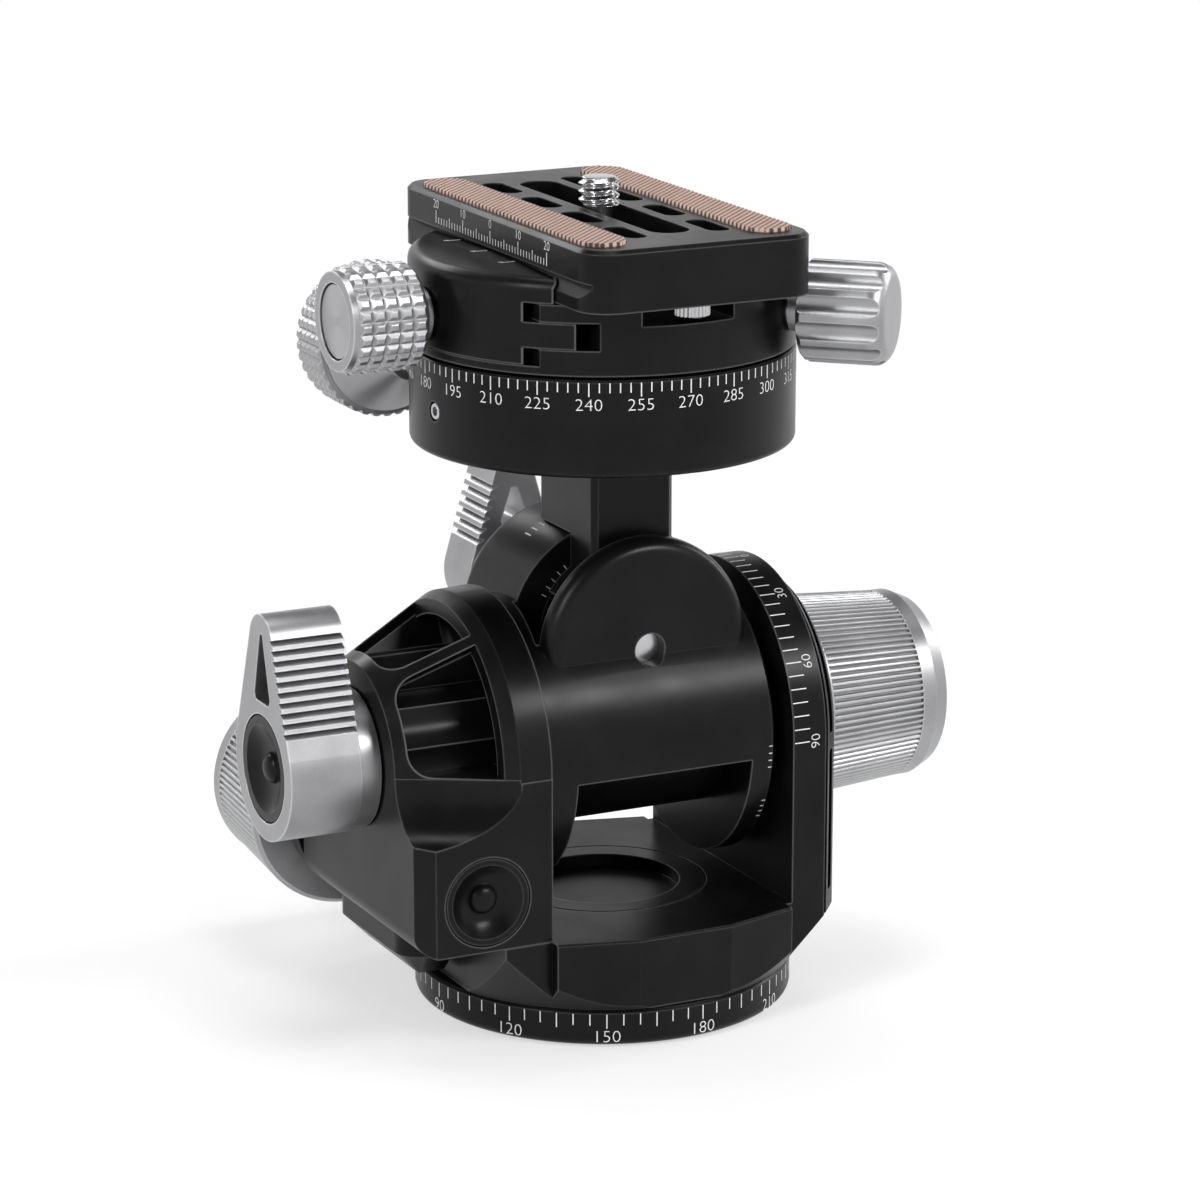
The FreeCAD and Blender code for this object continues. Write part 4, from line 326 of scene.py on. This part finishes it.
# Two webs stand under the ribs between the housing's windows, so that each window is a closed pocket.
WEB_DEGREES, WEB_HALF = 30.5, 0.8
WEB_PROFILE = ((-39.0, 14.4), (-24.0, 14.4), (-24.0, 22.9), (-39.0, 15.1))     # along X, out from the tilt axis
points, faces = [], []
for degrees in (-WEB_DEGREES, WEB_DEGREES):
    lean, first = math.radians(degrees), len(points)
    for side in (-WEB_HALF, WEB_HALF):
        for x, reach in WEB_PROFILE:
            points.append((x * MM, (reach * math.sin(lean) + side * math.cos(lean)) * MM,
                           (TILT_Z + reach * math.cos(lean) - side * math.sin(lean)) * MM))
    faces += [tuple(first + corner for corner in face) for face in
              ((0, 1, 2, 3), (7, 6, 5, 4), (4, 5, 1, 0), (5, 6, 2, 1), (6, 7, 3, 2), (7, 4, 0, 3))]
webs = new_mesh("housing_webs", points, faces, black_anodised)
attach(webs, "frame")

RIM_X, RIM_R = 21.3, 24.2
RIM_LINE_LOW, RIM_LINE_HIGH, RIM_LINE, RIM_FIGURE, RIM_FIGURE_DOWN = 2.9, 0.25, 0.16, 1.6, 4.0


def tilt_rim(across, up, out):
    """Rim of the side wall: across runs back from the top, up runs inward along X."""
    angle = math.pi / 2 - across / RIM_R
    reach = RIM_R + out
    return ((RIM_X - up) * MM, reach * math.cos(angle) * MM, (TILT_Z + reach * math.sin(angle)) * MM)


marks, texts = [], []
for degrees in range(-45, 91, 5):
    across = -math.radians(degrees) * RIM_R
    marks.append((across, -RIM_LINE_LOW, -RIM_LINE_HIGH, RIM_LINE))
    if degrees % 30 == 0:
        texts.append((str(abs(degrees)), across, -RIM_FIGURE_DOWN, RIM_FIGURE))
strokes("tilt_scale", tilt_rim, marks, texts, "frame")


# ---------------------------------------------------------------- tilt drive and tilt lock
# Steel worm and shaft, brass wheel; knob and lever are turned and milled aluminium, anodised grey.
# A dished black disc is pressed into the lever's middle, and one like it closes the worm block.
# Clear anodising keeps the metal's own grey: satin, with facets that catch the light along their edges.
grey_anodised = anodised("grey_anodised_aluminium", "#929294", "#a4a4a6", 0.92, 0.32, 0.42, edge_mm=0.25,
                         grain_mm=0.25, depth_mm=0.006, edge_highlight="#e0e0e0", edge_highlight_share=0.7)
dress(turned_steel, "tilt_worm", "tilt_lock_bolt", "tilt_shaft")
dress(turned_brass, "tilt_wheel")
dress(grey_anodised, "tilt_knob", "tilt_lever")

SHARP_DEGREES = 28


def plain(height, radius, angle):
    """Plain turned surface."""
    return radius


def lathe(name, rings, material, place, radius_at=plain, turns=96):
    """Closed turned piece: rings are (height, radius); radius_at cuts threads and knurls into them."""
    points, faces = [], []
    for height, radius in rings:
        for step in range(turns):
            angle = 2 * math.pi * step / turns
            reach = radius_at(height, radius, angle) * MM
            points.append(place @ Vector((reach * math.cos(angle), reach * math.sin(angle), height * MM)))
    for level in range(len(rings) - 1):
        for step in range(turns):
            here, beside = level * turns + step, level * turns + (step + 1) % turns
            faces.append((here, beside, beside + turns, here + turns))
    faces += [tuple(reversed(range(turns))), tuple(range(len(points) - turns, len(points)))]
    made = new_mesh(name, points, faces, material, smooth=True)
    made.data.set_sharp_from_angle(angle=math.radians(SHARP_DEGREES))
    return made


DISC_CHAMFER, DISC_STEPS, DOME_SHARE = 0.15, 8, 0.55


def dished(name, node, body, place, radius, thick, rim, deep, dome):
    """Pressed-in end disc: flat rim, concave dish and a small dome in its middle."""
    rings = [(0.0, radius), (thick - DISC_CHAMFER, radius), (thick, radius - DISC_CHAMFER), (thick, rim)]
    for step in range(1, DISC_STEPS + 1):
        share = step / DISC_STEPS
        rings.append((thick - deep * math.sin(share * math.pi / 2), rim + (dome - rim) * share))
    for step in range(DISC_STEPS + 1):
        rise = step / DISC_STEPS * math.pi / 2
        rings.append((thick - deep + 0.15 + dome * DOME_SHARE * math.sin(rise),
                      max(0.05, (dome - 0.1) * math.cos(rise))))
    made = lathe(name, rings, black_anodised, place)
    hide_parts(node)
    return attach(made, body)


TO_LEFT = Matrix.Rotation(math.radians(-90), 4, "Y")
TO_FRONT = Matrix.Rotation(math.radians(90), 4, "X")
lever_seat = Matrix.Translation((-55.75 * MM, 0, TILT_Z * MM)) @ TO_LEFT
dished("tilt_lever_dish", "tilt_lever_disc", "tilt_lock", lever_seat,
       radius=8.3, thick=1.9, rim=6.9, deep=1.6, dome=2.5)
cap_seat = Matrix.Translation((-31.2 * MM, -21.8 * MM, 25.4 * MM)) @ TO_FRONT
dished("worm_cap_dish", "worm_cap", "frame", cap_seat, radius=6.95, thick=2.5, rim=5.9, deep=2.1, dome=2.4)


# ---------------------------------------------------------------- barrel, roll drive and roll lock
# The barrel is milled and turned in one piece, black like the frame; its knob and lever are grey.
# A bronze wheel and a steel worm rock the neck; the wheel is painted near black, as the shade between neck and
# barrel. A bright steel pin runs through both ears.
dress(black_anodised, "barrel")
dress(turned_brass, "roll_worm_bush")
dress(shade_dark_bronze, "roll_wheel")
dress(turned_steel, "roll_worm", "roll_pin", "neck_screws")
dress(grey_anodised, "roll_knob", "roll_lever", "roll_collar")

ROLL_Z, EAR_R, DRUM_R = 59.5, 17.4, 22.5
TO_BACK = Matrix.Rotation(math.radians(-90), 4, "X")
small_lever_seat = Matrix.Translation((0, 40.6 * MM, ROLL_Z * MM)) @ TO_BACK
dished("roll_lever_dish", "roll_lever_disc", "roll_lock", small_lever_seat,
       radius=6.0, thick=1.85, rim=4.9, deep=1.5, dome=1.9)


def ear_crown(across, up, out):
    """Crown of the rear ear about the roll axis: across runs to the right from the top, up runs back."""
    angle = math.pi / 2 - across / EAR_R
    reach = (EAR_R + out) * MM
    return (reach * math.cos(angle), up * MM, ROLL_Z * MM + reach * math.sin(angle))


marks = [(math.radians(degrees) * EAR_R, 5.1, 7.1, 0.26) for degrees in (-34.9, -30.4, -25.9)]
strokes("roll_index", ear_crown, marks, [], "barrel")

SLOT_BACK = -2.8


def slot_face(across, up, out):
    """Flat back of the neck's slot, about the roll axis: across turns from the top, up is the radius."""
    angle = math.pi / 2 - across
    return (up * math.cos(angle) * MM, (SLOT_BACK - out) * MM, (ROLL_Z + up * math.sin(angle)) * MM)


marks = [(math.radians(degrees), 12.8, 13.7, math.radians(0.4)) for degrees in range(-60, -34, 6)]
strokes("roll_scale", slot_face, marks, [], "barrel")


def drum_end(across, up, out):
    """Right end of the barrel's drum: across runs down over the front, up runs outward along X."""
    angle = math.pi / 2 + across / DRUM_R
    reach = (DRUM_R + out) * MM
    return (up * MM, reach * math.cos(angle), TILT_Z * MM + reach * math.sin(angle))


marks = [(math.radians(degrees) * DRUM_R, 17.9, 18.5, 0.12) for degrees in (91, 94, 97, 100, 116, 119, 122, 125)]
strokes("tilt_index", drum_end, marks, [], "barrel")


# ---------------------------------------------------------------- neck and panning ring
# Black anodised stem and ring, screwed together; the ring's upper rim has a degree scale.
# The panning worm is steel and its wheel brass; two steel grub screws set the drive's play.
dress(black_anodised, "neck", "pan_ring")
dress(turned_steel, "pan_worm")
dress(turned_brass, "pan_worm_bush", "pan_wheel")
# The panning glide is painted near black, as the shade in the gap between ring and clamp.
dress(shade_dark_bronze, "pan_glide")
dress(grey_anodised, "pan_knob")

RING_R, RING_TOP = 30.0, 104.7
RING_LONG, RING_SHORT, RING_LINE, RING_FIGURE, RING_FIGURE_DOWN = 2.1, 1.5, 0.17, 1.85, 3.45
marks, texts = [], []
for degrees in range(0, 360, 3):
    across = math.radians(degrees) * RING_R
    marks.append((across, -RING_LONG if degrees % 15 == 0 else -RING_SHORT, 0.0, RING_LINE))
    if degrees % 15 == 0:
        texts.append((str(degrees), across, -RING_FIGURE_DOWN, RING_FIGURE))
strokes("pan_scale", band_round_z(RING_R, RING_TOP, 0.0), marks, texts, "neck")

GRUB_R, GRUB_IN, GRUB_OUT, GRUB_CHAMFER = 1.45, 28.0, 29.8, 0.25
SOCKET_R, SOCKET_DEEP, GRUB_SIDES = 0.8, 1.0, 36
GRUB_RINGS = ((GRUB_R, GRUB_IN, False), (GRUB_R, GRUB_OUT - GRUB_CHAMFER, False),
              (GRUB_R - GRUB_CHAMFER, GRUB_OUT, False), (SOCKET_R, GRUB_OUT, True),
              (SOCKET_R, GRUB_OUT - SOCKET_DEEP, True))


def hexagon(around):
    """Reach of a hexagon's side in one direction, as a share of its corner radius."""
    return math.cos(math.pi / 6) / math.cos((around % (math.pi / 3)) - math.pi / 6)


points, faces = [], []
for degrees, level in ((-174.7, 97.2), (156.3, 96.5)):
    outward = Matrix.Rotation(math.radians(degrees), 4, "Z") @ Matrix.Rotation(math.radians(90), 4, "Y")
    place = Matrix.Translation((0, 0, level * MM)) @ outward
    first = len(points)
    for radius, out, has_flats in GRUB_RINGS:
        for step in range(GRUB_SIDES):
            around = 2 * math.pi * step / GRUB_SIDES
            reach = (radius * hexagon(around) if has_flats else radius) * MM
            points.append(place @ Vector((reach * math.cos(around), reach * math.sin(around), out * MM)))
    for ring in range(len(GRUB_RINGS) - 1):
        for step in range(GRUB_SIDES):
            here = first + ring * GRUB_SIDES + step
            beside = first + ring * GRUB_SIDES + (step + 1) % GRUB_SIDES
            faces.append((here, beside, beside + GRUB_SIDES, here + GRUB_SIDES))
    faces += [tuple(first + step for step in reversed(range(GRUB_SIDES))),
              tuple(first + (len(GRUB_RINGS) - 1) * GRUB_SIDES + step for step in range(GRUB_SIDES))]
grub_screws = new_mesh("hex_grub_screws", points, faces, turned_steel)
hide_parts("ring_set_screws")
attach(grub_screws, "neck")


# ---------------------------------------------------------------- clamp, its jaw and knobs
# Black anodised body and jaw with fingers that run in each other on two steel pins.
# A steel screw draws the jaw; its knob and the panning lock's are grey.
dress(black_anodised, "clamp_body", "moving_jaw")
dress(turned_steel, "clamp_spindle", "guide_pins", "pan_lock_screw", "jaw_screw")
dress(grey_anodised, "pan_lock_knob", "jaw_knob")

# The jaw knob's end is faced on a lathe: fine rings round its axis break the light into a fan.
KNOB_Z, FEED_MM, FEED_DEEP = 111.9, 0.22, 0.008
spun_aluminium, tree = new_material("spun_aluminium")
spot = add_node(tree, "ShaderNodeTexCoord")
level = add_node(tree, "ShaderNodeVectorMath", {"operation": "SUBTRACT", 1: (0.0, 0.0, KNOB_Z * MM)},
                 {0: spot.outputs["Object"]})
flat = add_node(tree, "ShaderNodeVectorMath", {"operation": "MULTIPLY", 1: (0.0, 1.0, 1.0)},
                {0: level.outputs["Vector"]})
reach = add_node(tree, "ShaderNodeVectorMath", {"operation": "LENGTH"}, {0: flat.outputs["Vector"]})
phase = add_node(tree, "ShaderNodeMath", {"operation": "MULTIPLY", 1: 2 * math.pi / (FEED_MM * MM)},
                 {0: reach.outputs["Value"]})
ridge = add_node(tree, "ShaderNodeMath", {"operation": "SINE"}, {0: phase.outputs[0]})
bump = add_node(tree, "ShaderNodeBump", {"Strength": 1.0, "Distance": FEED_DEEP * MM},
                {"Height": ridge.outputs[0]})
# The colour is painted a little darker in the grooves and lighter on the crests: painted shade and highlight of
# the turning rings.
shade = add_node(tree, "ShaderNodeMapRange", {"From Min": -1.0, "From Max": 1.0}, {"Value": ridge.outputs[0]})
shader = add_node(tree, "ShaderNodeBsdfPrincipled", {"Metallic": 1.0, "Roughness": 0.28},
                  {"Base Color": blend(tree, shade.outputs[0], "#9c9c9e", "#b2b2b4"),
                   "Normal": bump.outputs[0]})
add_node(tree, "ShaderNodeOutputMaterial", None, {"Surface": shader.outputs[0]})
dress(spun_aluminium, "jaw_knob_disc")

JAW_TOP, JAW_MARKS_Y, JAW_LINE = 120.646, (10.2, 0.2, -9.8), 0.11


def jaw_top(across, up, out):
    """Flat top of the moving jaw, read from the left: across runs towards the front, up runs to the right."""
    return (up * MM, -across * MM, (JAW_TOP + out) * MM)


marks = [(-y, -21.7, -19.4, JAW_LINE) for y in JAW_MARKS_Y]
marks += [(-y - 0.4, -22.0, -21.2, JAW_LINE) for y in JAW_MARKS_Y]
strokes("jaw_index", jaw_top, marks, [], "jaw")


# ---------------------------------------------------------------- quick-release plate
# Milled aluminium plate with slots, anodised black, held by its dovetail in the clamp.
# Its left side has a millimetre scale; the camera screw's washer slides under it in the middle slot.
dress(black_anodised, "plate", "screw_washer")

PLATE_SIDE, PLATE_LOW = 19.0, 121.65
RULE_TEN, RULE_FIVE, RULE_ONE, RULE_LINE, RULE_FIGURE, RULE_FIGURE_UP = 2.0, 1.5, 1.0, 0.17, 1.4, 2.95


def plate_side(across, up, out):
    """Left side of the plate, read from outside: across runs towards the front."""
    return ((-PLATE_SIDE - out) * MM, -across * MM, (PLATE_LOW + up) * MM)


marks, texts = [], []
for y in range(-20, 21):
    marks.append((y, 0.0, RULE_TEN if y % 10 == 0 else RULE_FIVE if y % 5 == 0 else RULE_ONE, RULE_LINE))
    if y % 10 == 0:
        texts.append((str(abs(y)), y, RULE_FIGURE_UP, RULE_FIGURE))
strokes("plate_scale", plate_side, marks, texts, "plate")


# ---------------------------------------------------------------- stop screws and camera screw
# Two steel screws with straight-knurled heads hang under the plate's ends and keep it from sliding out.
# The camera screw is turned steel, 1/4-20: its thread has a 1.27 mm pitch and a blunt point.
STOP_X, STOP_Y = 1.0, 28.0
STOP_R, STOP_EDGE_R, STOP_STUD, STOP_RIBS, STOP_RIB = 2.85, 2.3, 1.45, 26, 0.22
stop_rings = [(113.8, STOP_EDGE_R), (114.1, STOP_R), (116.2, STOP_R), (116.5, STOP_EDGE_R),
              (116.5, STOP_STUD), (119.6, STOP_STUD)]


def knurled(height, radius, angle):
    """Straight knurl round the full radius only."""
    if radius != STOP_R:
        return radius
    return radius - STOP_RIB * (0.5 - 0.5 * math.cos(STOP_RIBS * angle))


for number, y in enumerate((STOP_Y, -STOP_Y), start=1):
    stop = lathe("stop_screw_%d" % number, stop_rings, turned_steel,
                 Matrix.Translation((STOP_X * MM, y * MM, 0)), knurled, STOP_RIBS * 6)
    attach(stop, "plate")
    if number == 1:
        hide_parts("stop_screws")

THREAD_R, THREAD_DEPTH, THREAD_PITCH, THREAD_LOW, THREAD_TOP = 3.175, 0.72, 1.27, 126.2, 130.5
CREST_SHARE, FLANK_SHARE, THREAD_STEPS, POINT_SLOPE = 0.12, 0.72, 14, 1.2
POINT_R, SHANK_R, FLANGE_R, FLANGE_CHAMFER = 2.45, 2.45, 6.3, 0.3
SCREW_Y = 1.2


def threaded(height, radius, angle):
    """Sixty-degree thread with flat crests, cut down to its root at both ends."""
    if radius != THREAD_R:
        return radius
    phase = (height / THREAD_PITCH - angle / (2 * math.pi)) % 1.0
    depth = THREAD_DEPTH * min(1.0, max(0.0, (abs(phase - 0.5) * 2 - CREST_SHARE) / FLANK_SHARE))
    return max(SHANK_R, min(radius - depth, POINT_R + (THREAD_TOP - height) * POINT_SLOPE))


screw_rings = [(117.9, FLANGE_R - FLANGE_CHAMFER), (118.2, FLANGE_R), (119.5, FLANGE_R),
               (119.8, FLANGE_R - FLANGE_CHAMFER), (119.8, SHANK_R), (THREAD_LOW - 0.02, SHANK_R)]
screw_rings += [(THREAD_LOW + step * THREAD_PITCH / THREAD_STEPS, THREAD_R)
                for step in range(int((THREAD_TOP - THREAD_LOW) / THREAD_PITCH * THREAD_STEPS) + 1)]
screw_rings.append((THREAD_TOP, POINT_R - 0.2))
camera_screw = lathe("camera_screw_threaded", screw_rings, turned_steel,
                     Matrix.Translation((0, SCREW_Y * MM, 0)), threaded)
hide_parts("camera_screw")
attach(camera_screw, "camera_screw")


# ---------------------------------------------------------------- woven rubber pads
# Two strips of rubberised cloth glued into shallow seats along the plate's edges.
# The weave stands in rows of knots, half a cell apart; the cloth's brown is painted pale on the knots as their
# highlight and darker between them as shade in the hollows.
WEAVE_MM, WEAVE_DEEP, FUZZ_MM, FUZZ_DEEP = 1.27, 0.15, 0.12, 0.03
woven_pad, tree = new_material("woven_rubber_pad")
spot = add_node(tree, "ShaderNodeTexCoord")
split = add_node(tree, "ShaderNodeSeparateXYZ", None, {0: spot.outputs["Object"]})
waves = []
for axis in ("X", "Y"):
    run = add_node(tree, "ShaderNodeMath", {"operation": "MULTIPLY", 1: 2 * math.pi / (WEAVE_MM * MM)},
                   {0: split.outputs[axis]})
    waves.append(add_node(tree, "ShaderNodeMath", {"operation": "COSINE"}, {0: run.outputs[0]}))
weave = add_node(tree, "ShaderNodeMath", {"operation": "MULTIPLY"},
                 {0: waves[0].outputs[0], 1: waves[1].outputs[0]})
# Painted highlight on the knots, painted shade in the hollows between them.
knot = add_node(tree, "ShaderNodeMapRange", {"From Min": -0.35, "From Max": 0.35}, {"Value": weave.outputs[0]})
fuzz = add_node(tree, "ShaderNodeTexNoise", {"Scale": 1 / (FUZZ_MM * MM)}, {"Vector": spot.outputs["Object"]})
bump = add_node(tree, "ShaderNodeBump", {"Strength": 1.0, "Distance": FUZZ_DEEP * MM},
                {"Height": fuzz.outputs["Fac"]})
shader = add_node(tree, "ShaderNodeBsdfPrincipled", {"Roughness": 0.7},
                  {"Base Color": blend(tree, knot.outputs[0], "#3a2822", "#b89b8f"), "Normal": bump.outputs[0]})
add_node(tree, "ShaderNodeOutputMaterial", None, {"Surface": shader.outputs[0]})

PAD_X, PAD_HALF, PAD_LONG, PAD_TOP, PAD_FOOT, PAD_TIP = 13.75, 3.65, 31.35, 126.6, 125.3, 0.08
PAD_ROWS, PAD_COLUMNS = 400, 46
points, faces = [], []
for side in (-1, 1):
    first = len(points)
    for row in range(PAD_ROWS + 1):
        y = PAD_LONG * (2 * row / PAD_ROWS - 1)
        past = max(0.0, abs(y) - (PAD_LONG - PAD_HALF))
        half = max(PAD_TIP, math.sqrt(max(0.0, PAD_HALF ** 2 - past ** 2)))
        for column in range(PAD_COLUMNS + 1):
            x = side * PAD_X + half * (2 * column / PAD_COLUMNS - 1)
            knot_here = math.cos(2 * math.pi * x / WEAVE_MM) * math.cos(2 * math.pi * y / WEAVE_MM)
            rim = row in (0, PAD_ROWS) or column in (0, PAD_COLUMNS)
            z = PAD_FOOT if rim else PAD_TOP - WEAVE_DEEP * (0.5 - 0.5 * knot_here)
            points.append((x * MM, y * MM, z * MM))
    wide = PAD_COLUMNS + 1
    for row in range(PAD_ROWS):
        for column in range(PAD_COLUMNS):
            here = first + row * wide + column
            faces.append((here, here + 1, here + 1 + wide, here + wide))
    underside = [first + column for column in range(wide)]
    underside += [first + row * wide + wide - 1 for row in range(1, PAD_ROWS + 1)]
    underside += [first + PAD_ROWS * wide + column for column in reversed(range(wide - 1))]
    underside += [first + row * wide for row in reversed(range(1, PAD_ROWS))]
    faces.append(tuple(reversed(underside)))
pads = new_mesh("woven_pads", points, faces, woven_pad, smooth=True)
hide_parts("plate_pads")
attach(pads, "plate")
